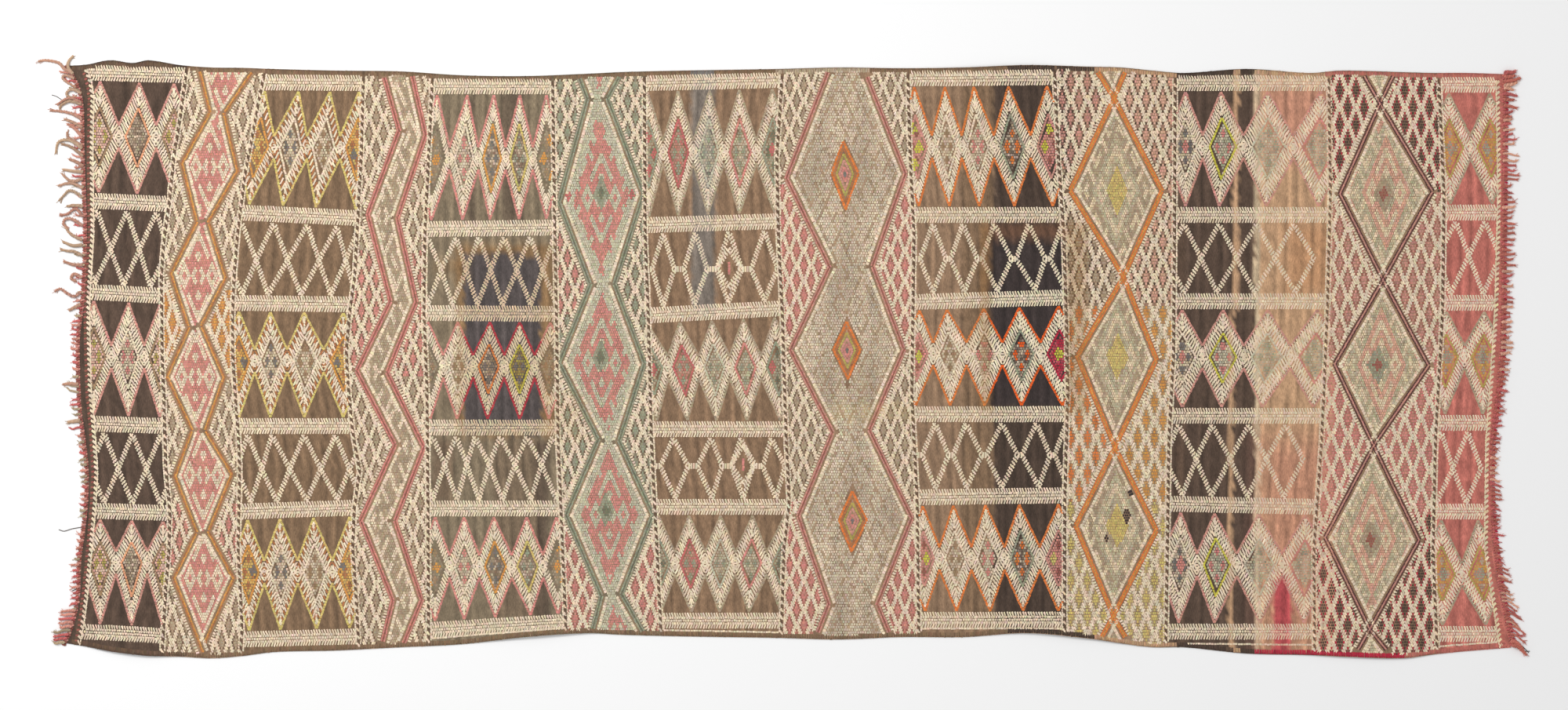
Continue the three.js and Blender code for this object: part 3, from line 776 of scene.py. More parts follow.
class Loom:
    """Stitches of one column. A row holds x, y, heading, length, width, height share and colour."""

    def __init__(self, yarn, seed):
        self.yarn = yarn
        self.random = np.random.default_rng(seed)
        self.rows = []

    def dyed(self, colour, count):
        """Colours of a number of stitches, from one name, from names in turn or from values."""
        if isinstance(colour, str):
            return np.tile(self.yarn[colour], (count, 1))
        if isinstance(colour, tuple):
            names = np.array([self.yarn[name] for name in colour])
            return names[np.arange(count) % len(names)]
        return colour

    def speckled(self, names, count):
        """Random mixes of two dyes."""
        share = self.random.uniform(0.5 - MIX_SWING, 0.5 + MIX_SWING, count)[:, None]
        return mix(self.yarn[names[1]], self.yarn[names[0]], share)

    def add(self, x, y, heading, length, width, colour, height=1.0):
        """Keeps a set of stitches."""
        rows = np.empty((np.size(x), 9))
        for slot, value in enumerate((x, y, heading, length, width, height)):
            rows[:, slot] = value
        rows[:, 6:] = self.dyed(colour, len(rows))
        self.rows.append(rows)

    def strand(self, points, colour, width, offset=0.0, pitch=3.4, height=1.0):
        """A chain of stitches along a line, or beside it on its right-hand side."""
        x, y, heading = beside(points, pitch, 0.5, offset)
        self.add(x, y, heading, pitch * 1.02, width, colour, height)

    def comb(
        self, points, colour, length, offset=0.0, lean=0.0, pitch=3.4, width=2.6, start=0.5, height=1.0
    ):
        """Strokes across a line, leaning from the square."""
        x, y, heading = beside(points, pitch, start, offset)
        self.add(x, y, heading + math.pi / 2 + lean, length, width, colour, height)

    def strokes(self, points, colour, length, width, offset=0.0, pitch=4.2, start=0.5):
        """Steep strokes along a line, each against the line's own slant."""
        x, y, heading = walk(points, pitch, start)
        slant = np.sign(np.cos(heading) * np.sin(heading))
        self.add(x + offset, y, math.pi / 2 + STROKE_SLANT * slant, length, width, colour)

    def herringbone(self, points, colour="white"):
        """A line of two rows of short strokes."""
        for offset, start in ((-1.5, 0.5), (1.5, 1.0)):
            self.strokes(points, colour, length=4.8, width=2.3, offset=offset, pitch=4.1, start=start)

    def bar(self, points):
        """A white bar: three rows of upright stitches between two slanted edges."""
        row = BAR_THICKNESS / 5
        for place in (-1, 0, 1):
            start = 0.5 + 0.5 * (place % 2)
            self.comb(points, "white", row * 0.94, offset=place * row, pitch=3.1, width=2.9, start=start)
        for side in (-1, 1):
            self.comb(points, "white", 6.4, offset=side * 2.05 * row, lean=side * 0.35, width=2.15)

    def frame_side(self, tip, corner, level, outline, frame, inner):
        """One of a diamond's four sides: the outline beside the bare ground, then rows of strokes."""
        way = math.copysign(1.0, tip[1] - level)
        side = math.copysign(1.0, corner - tip[0])
        valley = (corner, level + way * VALLEY)
        slope = abs(valley[1] - tip[1]) / abs(corner - tip[0])
        room = VALLEY / slope + inner - (OUTLINE_WIDTH + INNER_WIDTH) / 2
        rows = max(int(round(room / STROKE_ROW)), 1)
        for number in range(rows):
            inset = OUTLINE_WIDTH / 2 + (number + 0.5) * room / rows
            start = (tip[0], tip[1] - way * slope * (inset - 1.0))
            past = max(inset - VALLEY / slope, 0.0)
            end = (corner - side * past, level + way * max(VALLEY - slope * inset, 0.0))
            colour = frame if number % 2 == 0 else frame[0]
            begin = 0.5 + 0.5 * (number % 2)
            self.strokes((start, end), colour, length=room / rows / STROKE_COVER, width=2.4, start=begin)
        inset = OUTLINE_WIDTH / 2 + TICK_INSET
        ticks = (tip[0], tip[1] - way * slope * inset), (corner, level + way * (VALLEY - slope * inset))
        self.strokes(ticks, "umber", length=2.9, width=1.5, start=1.0)
        self.strand((tip, valley), outline, width=OUTLINE_WIDTH, height=1.15)

    def diamond(self, top, right, bottom, left, outline, frame, core):
        """A framed diamond: outlines, rows of slanted strokes, an inner outline and a patterned middle."""
        level = left[1]
        half = (right[0] - left[0]) / 2
        inner = FRAME_SHARE * half
        reach = half - inner
        middle = (left[0] + right[0]) / 2
        ends = []
        for tip, way in ((top, -1), (bottom, 1)):
            for corner in (left[0], right[0]):
                self.frame_side(tip, corner, level, outline, frame, inner)
            steep = (abs(tip[1] - level) - VALLEY) / half
            end = ((tip[0] + middle) / 2, level + way * steep * reach)
            ends.append(end)
            seam = [mix(np.array(tip), np.array(end), share) for share in (0.15, 0.9)]
            self.strand(seam, frame[0], width=2.8, height=0.9)
        corners = (ends[0], (middle + reach, level), ends[1], (middle - reach, level), ends[0])
        x, y = self.grid(middle, level, reach, max(level - ends[0][1], ends[1][1] - level), DOT_PITCH)
        end = np.where(y < level, level - ends[0][1], ends[1][1] - level)
        away = abs(x - middle) / reach, abs(y - level) / end
        within = away[0] + away[1] < CORE_REACH
        beside_it = abs(away[0] - CORE_MOTIFS[0]) * 1.2 + away[1]
        above_it = away[0] + abs(away[1] - CORE_MOTIFS[1]) * 1.2
        small = np.minimum(beside_it, above_it) < CORE_MOTIF_SIZE
        inner_outline, motif, dot, pale = CORES[core]
        tint = self.speckled((dot, pale), len(x))
        tint = np.where(small[:, None], self.yarn[motif], tint)
        self.add(x[within], y[within], math.pi / 2, 3.3, 2.9, tint[within])
        self.strand(corners, inner_outline, width=INNER_WIDTH, height=1.15)

    def diamond_row(self, row, low, high):
        """Neighbouring diamonds between two bars, joined where they cross."""
        crossing = self.crossings(row)
        for x in crossing[1:-1]:
            self.comb(((x, row.level - 9), (x, row.level + 9)), row.frame[0], 5.0, pitch=3.3, width=2.5)
        for number, name in enumerate(row.cores):
            left, right = (crossing[number], row.level), (crossing[number + 1], row.level)
            top = (row.tops[number], low(row.tops[number]))
            bottom = (row.bottoms[number], high(row.bottoms[number]))
            self.diamond(top, right, bottom, left, row.outline, row.frame, name)

    def cross_row(self, row, low, high):
        """White lines that cross between two bars."""
        crossing = self.crossings(row)
        link = row.outline
        for number, x in enumerate(crossing):
            if link:
                ends = (x - link, row.level), (x + link, row.level)
                self.comb(ends, "white", 8.4, pitch=2.7, width=2.5)
            for side, step in ((-1, number - 1), (1, number)):
                if 0 <= step < len(row.tops):
                    start = (row.tops[step], low(row.tops[step]))
                    end = (row.bottoms[step], high(row.bottoms[step]))
                    turn = (x + side * link, row.level)
                    self.herringbone((start, turn))
                    self.herringbone((turn, end))

    def crossings(self, row):
        """Chart x of each crossing of a row, with one beyond each end."""
        middle = [(top + bottom) / 2 for top, bottom in zip(row.tops, row.bottoms)]
        inner = [(a + b) / 2 for a, b in zip(middle, middle[1:])]
        return [2 * middle[0] - inner[0], *inner, 2 * middle[-1] - inner[-1]]

    def grid(self, middle_x, middle_y, reach_x, reach_y, pitch):
        """Staggered places round a middle, lined up with it."""
        across = np.arange(-int(reach_x / pitch[0]) - 1, int(reach_x / pitch[0]) + 2)
        down = np.arange(-int(reach_y / pitch[1]) - 1, int(reach_y / pitch[1]) + 2)
        x, y = np.meshgrid(across * pitch[0], down * pitch[1])
        x = x + (abs(down) % 2)[:, None] * pitch[0] / 2
        return middle_x + x.ravel(), middle_y + y.ravel()

    def lattice(self, x, y, column):
        """White lattice with small toothed diamonds, outside a brocade's zigzags."""
        brocade, lattice = BROCADES[column], LATTICES[column]
        along, down = (x - lattice.x) / lattice.half_wide, (y - lattice.y) / lattice.half_high
        near, quadrant = diamond_grid(along, down)
        colour = np.tile(self.yarn["white"], (len(x), 1))
        middle = (zigzag_at(brocade.left, y) + zigzag_at(brocade.right, y)) / 2
        tooth_row = np.round(down * LATTICE_ROWS) % 2 == 0
        upright = near < LATTICE_RING
        top = 0
        for bottom, left_core, right_core, tooth in brocade.lattice:
            here = (y >= top) & (y < bottom)
            core = np.where((x < middle)[:, None], self.yarn[left_core], self.yarn[right_core])
            dark = np.where(tooth_row[:, None], self.yarn[tooth], mix(self.yarn[tooth], core, 0.6))
            colour = np.where((here & upright)[:, None], dark, colour)
            colour = np.where((here & (near < LATTICE_CORE))[:, None], core, colour)
            top = bottom
        width = lattice.half_wide / LATTICE_COLUMNS * np.where(upright & (near > LATTICE_TEETH), 0.8, 0.98)
        lean = np.where(upright, 0.0, STROKE_SLANT * quadrant)
        self.add(x, y, math.pi / 2 + lean, np.where(upright, 3.5, 4.7), width, colour)

    def fill_places(self, brocade, pitch):
        """Middle and stitch places of each wide part between a brocade's zigzags."""
        for middle, top, bottom in lozenges(brocade):
            x, y = self.grid(*middle, *FILL_REACH, pitch)
            here = (y >= top) & (y < bottom + FILL_OVERLAP) & between(brocade, x, y)
            yield middle, x[here], y[here]

    def hooks(self, brocade):
        """Nested hooks on the diagonals between a brocade's zigzags."""
        chart = np.array([list(line) for line in HOOK_CHART]) == "c"
        size = len(chart)
        first, pale, second = (self.yarn[name] for name in brocade.fill)
        for middle, x, y in self.fill_places(brocade, HOOK_PITCH):
            across, down = abs(x - middle[0]) / HOOK_CELL[0], abs(y - middle[1]) / HOOK_CELL[1]
            inward = np.floor(across - down + 0.01).astype(int)
            outward = np.floor(across + down + 0.01).astype(int)
            coloured = chart[outward % size, inward % size]
            coloured &= between(brocade, x, y, WHITE_MARGIN + brocade.rim)
            nest = outward // (size // 2) % 2 == 0
            colour = np.where(nest[:, None], first, second)
            colour = np.where(coloured[:, None], colour, pale)
            self.add(x, y, math.pi / 2, 3.25, 2.55, colour)

    def dotted_field(self, brocade):
        """A beige dotted field crossed by faint dark diagonals."""
        for middle, x, y in self.fill_places(brocade, DOT_PITCH):
            near, _ = diamond_grid((x - middle[0]) / FIELD_HALF[0], (y - middle[1]) / FIELD_HALF[1])
            dark = (near > FIELD_LINE) & (self.random.random(len(x)) < FIELD_DARK)
            tone = 0.05 * np.sin(x * 0.11 + y * 0.017) + 0.04 * np.sin(y * 0.045 + 1.0)
            colour = self.yarn[brocade.fill[1]] * (1 + tone)[:, None]
            colour = np.where(dark[:, None], mix(colour, self.yarn["fawn"], 0.6), colour)
            self.add(x, y, math.pi / 2, 3.3, 2.8, colour)

    def spot(self, x, y, half_width, half_height, colour):
        """Dyes the stitches of a small diamond-shaped spot."""
        for rows in self.rows:
            near = abs(rows[:, 0] - x) / half_width + abs(rows[:, 1] - y) / half_height
            rows[near < 1, 6:] = self.yarn[colour]

    def redye(self, left, right, top, bottom, old, new):
        """Gives the stitches of one dye inside a box another one."""
        for rows in self.rows:
            here = (rows[:, 0] > left) & (rows[:, 0] < right) & (rows[:, 1] > top) & (rows[:, 1] < bottom)
            same = abs(rows[:, 6:] - self.yarn[old]).sum(axis=1) < 1e-6
            rows[here & same, 6:] = self.yarn[new]

    def trim(self, column):
        """Drops the stitches that reach past the column's lines or the rug's long sides."""
        rows = np.concatenate(self.rows)
        x, y = rows[:, 0], rows[:, 1]
        keep = (x > column_line(column - 1, y) + LINE_GAP) & (x < column_line(column, y) - LINE_GAP)
        keep &= (y > top_edge(x) + EDGE_GAP) & (y < bottom_edge(x) - EDGE_GAP)
        self.rows = [rows[keep]]

    def finished(self):
        """All stitches, stained and a little uneven in colour, place and turn."""
        rows = np.concatenate(self.rows)
        count = len(rows)
        for patch in PATCHES:
            if patch.stitches:
                share = (patch_share(patch, rows[:, 0], rows[:, 1]) * patch.stitches)[:, None]
                rows[:, 6:] = mix(rows[:, 6:], self.yarn[patch.colour], share)
        rows[:, 6:] *= 1 + TONE_SPREAD * self.random.standard_normal((count, 1))
        rows[:, 6:] *= 1 + TINT_SPREAD * self.random.standard_normal((count, 3))
        rows[:, :2] += PLACE_SPREAD * self.random.standard_normal((count, 2))
        rows[:, 2] += TURN_SPREAD * self.random.standard_normal(count)
        rows[:, 5] *= 1 + RISE_SPREAD * self.random.standard_normal(count)
        rows[:, 6:] = np.clip(rows[:, 6:], 0, 1)
        return rows


def beside(points, pitch, start, offset):
    """Places and headings along a line, moved to its right-hand side."""
    x, y, heading = walk(points, pitch, start)
    return x - np.sin(heading) * offset, y + np.cos(heading) * offset, heading


def diamond_grid(along, down):
    """How far places lie from the nearest middle of a grid of diamonds, and which way its side leans."""
    near = np.full(along.shape, np.inf)
    lean = np.ones(along.shape)
    for phase in (0, 1):
        a = (along - phase + 1) % 2 - 1
        b = (down - phase + 1) % 2 - 1
        closer = abs(a) + abs(b) < near
        near = np.where(closer, abs(a) + abs(b), near)
        lean = np.where(closer, np.where(a * b < 0, 1.0, -1.0), lean)
    return near, lean


def lozenges(brocade):
    """Middle, upper end and lower end of each wide part between a brocade's zigzags."""
    left, right = np.array(brocade.left, float), np.array(brocade.right, float)
    width = right[:, 0] - left[:, 0]
    wide = width >= np.median(width)
    middles = (left[wide] + right[wide]) / 2
    cuts = (middles[:-1, 1] + middles[1:, 1]) / 2
    return zip(middles, np.r_[0.0, cuts], np.r_[cuts, 900.0])


def between(brocade, x, y, margin=WHITE_MARGIN):
    """Places that lie between a brocade's zigzags, some way inside them."""
    left, right = zigzag_at(brocade.left, y), zigzag_at(brocade.right, y)
    return (x > left + margin) & (x < right - margin)


def line_points(x_at, top, bottom):
    """Points down a line whose x depends on y."""
    y = np.linspace(top, bottom, int((bottom - top) / LINE_STEP))
    return np.column_stack((x_at(y), y))


def bar_ends(column, line):
    """Both ends of a line across a column, from its y at the left side and its y at the right side."""
    return (column_line(column - 1, line[0]), line[0]), (column_line(column, line[1]), line[1])


def beside_bar(ends, side):
    """Chart y of one side of a bar at an x: -1 is the upper side and 1 the lower one."""
    (left, left_y), (right, right_y) = ends
    return lambda x: np.interp(x, (left, right), (left_y, right_y)) + side * BAR_THICKNESS * BAR_CLEARANCE


def weave_plain(loom, column):
    """A plain column: six bars with diamonds and crosses between them."""
    bars = [bar_ends(column, line) for line in BAR_LINES[column]]
    for row, upper, lower in zip(ROWS[column], bars, bars[1:]):
        weave_row = loom.diamond_row if row.kind == "diamonds" else loom.cross_row
        weave_row(row, beside_bar(upper, 1), beside_bar(lower, -1))
    for bar in bars:
        loom.bar(bar)
    if column == NESTED_COLUMN:
        for x, y, wide, high in NESTED:
            corners = ((x, y - high), (x + wide, y), (x, y + high), (x - wide, y), (x, y - high))
            for pair in zip(corners, corners[1:]):
                loom.herringbone(pair)
            loom.spot(x, y, 4, 9, "rose")
            loom.strand(((x, y - 8), (x, y + 8)), "pink", width=3.4)
    if column in THIN_LINES:
        loom.strand(bar_ends(column, THIN_LINES[column]), "white", width=2.6)


def weave_brocade(loom, column):
    """A brocaded column: zigzag lines, the fill between them and the lattice outside."""
    brocade, lattice = BROCADES[column], LATTICES[column]
    if column == DOTTED_COLUMN:
        loom.dotted_field(brocade)
    else:
        loom.hooks(brocade)
    pitch = lattice.half_wide / LATTICE_COLUMNS, lattice.half_high / LATTICE_ROWS
    x, y = loom.grid(lattice.x, lattice.y, *LATTICE_REACH, pitch)
    left, right = zigzag_at(brocade.left, y), zigzag_at(brocade.right, y)
    outside = (x < left - LATTICE_MARGIN) | (x > right + LATTICE_MARGIN)
    loom.lattice(x[outside], y[outside], column)
    for points, side in ((brocade.left, 1), (brocade.right, -1)):
        loom.strand(points, "white", width=4.4, offset=-side * 7.2, height=0.95, pitch=3.7)
        loom.strand(points, "fawn", width=1.4, offset=-side * 4.2, height=0.8)
        loom.comb(points, "white", 4.8, offset=side * 5.6, pitch=3.7, width=2.6)
        for place, colour in zip((-1.9, 0, 1.9), brocade.strands):
            loom.strand(points, colour, width=2.0, offset=place * side, height=1.25)
    if column == DOTTED_COLUMN:
        for corners in FIELD_DIAMONDS:
            weave_field_diamond(loom, corners)


def weave_field_diamond(loom, corners):
    """A small orange diamond with a green ring and a pink middle, alone on the dotted field."""
    corners = np.array(corners + corners[:1], float)
    middle = corners[:-1].mean(axis=0)
    reach = corners - middle
    for rows in loom.rows:
        near = abs(rows[:, 0] - middle[0]) / FIELD_CLEAR[0] + abs(rows[:, 1] - middle[1]) / FIELD_CLEAR[1]
        rows[near < 1, 5] = 0.0
    for share, colour, width in FIELD_BANDS:
        loom.strand(middle + reach * share, colour, width=width, height=1.2)


def weave_borders(loom, column):
    """The line to the right of a column, the outer lines, and the wrapped edges above and below."""
    if column < LAST_COLUMN:
        ends = [edge(column_line(column, CHART_MIDDLE[1])) for edge in (top_edge, bottom_edge)]
        points = line_points(
            lambda y: column_line(column, y), ends[0] + LINE_END_GAP, ends[1] - LINE_END_GAP
        )
        loom.strand(points, "umber", width=2.0, height=0.9)
        teeth = {"offset": 0.4, "lean": 1.1, "pitch": 9.5, "height": 1.2}
        for colour, start, width in (("umber", 0.5, 2.6), ("white", 1.0, 2.8)):
            loom.comb(points, colour, 6.4, width=width, start=start, **teeth)
        for offset in (-2.9, 3.1):
            loom.strand(points, "white", width=2.2, offset=offset)
    if column == 1:
        points = line_points(lambda y: column_line(0, y), *FIRST_LINE_ENDS)
        loom.comb(points, "white", 7.2, lean=0.7, pitch=6.6, width=3.4)
        loom.strand(points, "white", width=2.0, offset=-1.8)
        loom.comb(points, ("umber", "brick"), 4.4, offset=4.2, lean=-0.3, width=2.8)
    if column == LAST_COLUMN:
        points = line_points(lambda y: column_line(LAST_COLUMN, y), *LAST_LINE_ENDS)
        loom.comb(points, "cream", 7.2, lean=-0.7, pitch=6.6, width=3.4)
        loom.strand(points, "cream", width=2.0, offset=1.8)
        loom.comb(points, "coral", 5.0, offset=-4.6, lean=0.3)
    wrap_edges(loom, column)


def wrap_edges(loom, column):
    """Yarn wrapped over both long sides of the rug, along one column."""
    def near_side(y):
        """Where the wrapping begins."""
        return column_line(column - 1, y) if column > 1 else left_end(y) + STRIP_SQUARES + 0.5

    def far_side(y):
        """Where the wrapping ends."""
        return column_line(column, y) if column < LAST_COLUMN else right_end(y) - STRIP_SQUARES - 0.5

    left, right = near_side(CHART_MIDDLE[1]), far_side(CHART_MIDDLE[1])
    first = left + WRAP_INSET if column == 1 else left
    last = right - WRAP_INSET if column == LAST_COLUMN else right
    x = np.arange(first - WRAP_OVERRUN, last + WRAP_OVERRUN, WRAP_PITCH)
    limits = [row[0] for row in EDGE_WRAPS]
    for edge, side, slot in ((top_edge, 1, 1), (bottom_edge, -1, 2)):
        y = edge(x)
        places = x[(x > near_side(y)) & (x < far_side(y))]
        dyes = np.array([loom.yarn[row[slot]] for row in EDGE_WRAPS])
        colour = dyes[np.clip(np.searchsorted(limits, places), 0, len(limits) - 1)]
        loom.add(places, edge(places) + side * 3.4, math.pi / 2, 6.4, 2.9, colour, 0.8)
        loom.add(places, edge(places) + side * 1.7, 0.0, 3.1, 3.0, colour * 0.85, 0.6)


# Short locks of the two ends, in millimetres: first and last place up the end, how many, how far each
# reaches, leans and sways, and how wide it is

Locks = namedtuple("Locks", "start end count reach lean sway width")
LEFT_TUFTS = [
    Locks(*row)
    for row in (
        (98, 40, 6, 15, 3, 1, 6), (26, -44, 5, 11, 2, 1, 7), (-70, -84, 2, 30, 12, 3, 6),
        (-102, -140, 4, 15, 3, 2, 6), (-160, -174, 2, 26, -2, 2, 6), (-196, -400, 15, 9, 1, 1, 7),
        (-448, -510, 5, 8, 1, 1, 7), (-524, -636, 9, 13, -2, 1, 7), (-640, -722, 9, 34, -2, 3, 8),
        (730, 600, 7, 22, 4, 3, 6), (590, 240, 15, 20, 4, 3, 6), (230, 110, 7, 14, 3, 2, 6),
    )
]
RIGHT_TUFTS = [
    Locks(*row)
    for row in (
        (730, 698, 4, 30, 6, 2, 11), (692, 646, 4, 26, -2, 1, 9), (628, 600, 4, 17, 2, 1, 8),
        (584, 548, 4, 24, 2, 1, 7), (524, 524, 1, 36, -3, 2, 6), (506, 460, 5, 30, -3, 2, 7),
        (440, 240, 16, 25, 1, 1, 8), (224, 30, 16, 20, 1, 1, 8), (14, -170, 15, 17, 1, 1, 8),
        (-186, -290, 9, 15, -1, 1, 8), (-306, -380, 7, 22, -3, 1, 7), (-396, -430, 4, 16, -1, 1, 7),
        (-446, -446, 1, 34, -6, 2, 6), (-464, -514, 5, 14, -5, 1, 6), (-530, -606, 8, 23, -9, 1, 6),
        (-615, -700, 9, 36, -20, 2, 6), (-718, -728, 2, 42, -22, 1, 12),
    )
]

# Long loose yarns at the faded end, as (x, y) on the chart from the strip outwards

LEFT_YARNS = (
    ((92, 92), (82, 88), (75, 80), (60, 77), (49, 78)),
    ((93, 94), (87, 86), (88, 78), (94, 71)),
    ((95, 100), (84, 96), (80, 99), (86, 105), (97, 111)),
    ((104, 119), (92, 114), (85, 119), (89, 124), (98, 123)),
    ((104, 131), (91, 125), (81, 128), (73, 134)),
    ((104, 133), (90, 129), (80, 133), (76, 138)),
    ((105, 152), (92, 145), (78, 142), (64, 141)),
    ((105, 163), (93, 156), (82, 152)),
    ((105, 174), (95, 163), (86, 158)),
    ((105, 186), (95, 180), (87, 175), (86, 168)),
    ((105, 189), (90, 179), (75, 181), (71, 196)),
    ((106, 199), (92, 188), (78, 183)),
    ((106, 212), (97, 206), (88, 203)),
    ((106, 219), (93, 218), (80, 216)),
    ((106, 228), (95, 231), (87, 229), (79, 221)),
    ((106, 240), (94, 234), (85, 234), (74, 237)),
    ((106, 252), (96, 245), (88, 243), (82, 249), (75, 256)),
    ((106, 263), (95, 262), (85, 263)),
    ((106, 276), (97, 266), (86, 273), (76, 274)),
    ((106, 288), (94, 280), (84, 279), (81, 286), (88, 291)),
    ((105, 306), (97, 302), (89, 297), (81, 285)),
    ((105, 312), (93, 313), (80, 308)),
    ((105, 326), (96, 321), (88, 320), (77, 318)),
    ((105, 338), (93, 337), (81, 333)),
    ((105, 354), (95, 349), (91, 355), (98, 359)),
    ((104, 372), (95, 378), (86, 374), (77, 368), (70, 372)),
    ((103, 388), (95, 392), (88, 396)),
    ((100, 490), (90, 489), (80, 490)),
    ((102, 536), (94, 537), (86, 538)),
)

# Single dark threads, as (x, y) on the chart

THREADS = (
    ((104, 672), (92, 674), (82, 677), (75, 675)), ((80, 128), (72, 123), (66, 121)),
    ((100, 750), (92, 753)), ((1934, 818), (1942, 824), (1950, 832)),
    ((1928, 818), (1940, 829), (1951, 830)),
)
YARN_SIDES = 5
PLY_STEPS = 15

# Loose yarns and threads, in millimetres: width of a long yarn, way along it for one turn of its plies, a
# ply's share of its yarn, thickness of a frayed fibre and of a thread, height of a thread's middle, and how
# far a short lock's root lies under the strip in squares; then the random seeds

YARN_WIDTH = 10.5
PLY_TURN = 11.0
PLY_SHARE = 0.27
FIBRE_THICKNESS = 0.6
THREAD_THICKNESS = 0.9
THREAD_HEIGHT = 1.2
LOCK_ROOT = 3
STRIP_SEED = 40
FRINGE_SEED = 70


def smooth_path(points, count):
    """Places along a smooth curve through the points."""
    points = np.asarray(points, float)
    ends = np.vstack((2 * points[0] - points[1], points, 2 * points[-1] - points[-2]))
    at = np.linspace(0, len(points) - 1 - 1e-6, count)
    leg = at.astype(int)
    t = (at - leg)[:, None]
    a, b, c, d = (ends[leg + step] for step in range(4))
    bend = (2 * a - 5 * b + 4 * c - d) * t ** 2 + (3 * b - a - 3 * c + d) * t ** 3
    return 0.5 * (2 * b + (c - a) * t + bend)


def tuft_paths(rows, end_at, side, random):
    """Centre lines and widths of the short locks along one end, in squares."""
    for row in rows:
        for up in np.linspace(row.start, row.end, row.count):
            y = CHART_MIDDLE[1] - up / 2
            reach = row.reach * (0.9 + 0.3 * random.uniform(-1, 1)) / 2
            lean = (row.lean + 4 * random.uniform(-1, 1)) / 2
            sway = row.sway * (1 + random.uniform(-1, 1)) / 2
            u = np.linspace(0, 1, 5)
            x = end_at(y) - side * LOCK_ROOT + side * (reach + LOCK_ROOT) * u
            yield np.column_stack((x, y - lean * u ** 2 - sway * np.sin(2 * math.pi * u) * u)), row.width


def plied(path, width, random, tone, out, plies=2):
    """Adds plies wound round a centre line, as (places, thickness, colours), and fibres at its tip."""
    centre = smooth_path(path, PLY_STEPS)
    run = np.gradient(centre, axis=0)
    run /= np.maximum(np.hypot(run[:, 0], run[:, 1]), 1e-9)[:, None]
    across = np.column_stack((-run[:, 1], run[:, 0]))
    reach = np.hypot(*np.diff(centre, axis=0).T).sum() * SQUARE
    u = np.linspace(0, 1, PLY_STEPS)
    thick = width / 1000 * PLY_SHARE * (1 - 0.25 * u)
    turn = random.uniform(0, 6.28) + u * max(reach / (PLY_TURN / 1000), 1.2) * 2 * math.pi
    for ply in np.arange(plies) * 2 * math.pi / plies:
        shift = np.cos(turn + ply) * thick * (0.35 + 0.27 * plies) / SQUARE
        x, y = model_place(centre[:, 0] + across[:, 0] * shift, centre[:, 1] + across[:, 1] * shift)
        z = thick * 1.25 + np.sin(turn + ply) * thick * 0.55 + 0.0004 + 0.0008 * (1 - u)
        shade = tone * (1 + 0.10 * random.uniform(-1, 1))
        fade = mix(shade, shade * np.array([1.05, 1.02, 0.98]), u[:, None])
        out.append((np.column_stack((x, y, z)), thick * (1 - 0.45 * u ** 4), fade))
    for _ in range(2 + plies):
        bend = centre[-4:] + np.linspace(0, 1, 4)[:, None] * random.uniform(-3.6, 3.6, 2)
        x, y = model_place(bend[:, 0], bend[:, 1])
        z = np.full(4, 0.0016) + 0.001 * random.uniform(0, 1)
        thin = np.full(4, FIBRE_THICKNESS / 1000)
        out.append((np.column_stack((x, y, z)), thin, np.tile(tone * 1.05, (4, 1))))


def thread(path, tone):
    """A single thread that lies on the floor, as (places, thickness, colours)."""
    centre = smooth_path(path, PLY_STEPS)
    x, y = model_place(centre[:, 0], centre[:, 1])
    places = np.column_stack((x, y, np.full(PLY_STEPS, THREAD_HEIGHT / 1000)))
    return places, np.full(PLY_STEPS, THREAD_THICKNESS / 1000), np.tile(tone, (PLY_STEPS, 1))


# Making meshes: margin round a layout, and the upward part of a normal under which its face looks down

UV_MARGIN = 0.01
FACING_DOWN = -0.5


def put_in_scene(data, name):
    """An object of a mesh, lamp or camera, linked to the scene."""
    thing = bpy.data.objects.new(name, data)
    bpy.context.scene.collection.objects.link(thing)
    return thing


def grid_faces(columns, rows, first, turned):
    """Quads of a grid of points numbered down its columns."""
    at = first + np.arange((columns + 1) * (rows + 1)).reshape(columns + 1, rows + 1)
    quads = np.stack((at[:-1, :-1], at[:-1, 1:], at[1:, 1:], at[1:, :-1]), axis=-1).reshape(-1, 4)
    return quads[:, ::-1] if turned else quads


def rim_faces(columns, rows):
    """Quads that join the edge of a top grid to the edge of the grid beneath it."""
    at = np.arange((columns + 1) * (rows + 1)).reshape(columns + 1, rows + 1)
    loop = np.concatenate((at[:-1, 0], at[-1, :-1], at[:0:-1, -1], at[0, :0:-1]))
    after = np.roll(loop, -1)
    under = at.size
    return np.column_stack((loop, after, after + under, loop + under))


def plan_uv(mesh, halves=False):
    """Lays a mesh out as seen from above. What looks down is shrunk to a point, or has its own half."""
    count = len(mesh.vertices)
    places = np.empty(count * 3, np.float32)
    mesh.vertices.foreach_get("co", places)
    places = places.reshape(-1, 3)
    loops = np.empty(len(mesh.loops), np.int32)
    mesh.loops.foreach_get("vertex_index", loops)
    start = np.empty(len(mesh.polygons), np.int32)
    total = np.empty(len(mesh.polygons), np.int32)
    normal = np.empty(len(mesh.polygons) * 3, np.float32)
    mesh.polygons.foreach_get("loop_start", start)
    mesh.polygons.foreach_get("loop_total", total)
    mesh.polygons.foreach_get("normal", normal)
    low, high = places.min(axis=0), places.max(axis=0)
    uv = ((places - low) / (high - low))[loops, :2] * (1 - 2 * UV_MARGIN) + UV_MARGIN
    down = normal.reshape(-1, 3)[:, 2] < FACING_DOWN
    below = np.repeat(down, total)
    if halves:
        uv[:, 0] = uv[:, 0] * 0.5 + np.where(below, 0.5, 0.0)
    else:
        uv[below] = np.repeat(uv[start], total, axis=0)[below]
    layer = mesh.uv_layers.new(name="OFBake")
    layer.data.foreach_set("uv", uv.astype(np.float32).ravel())


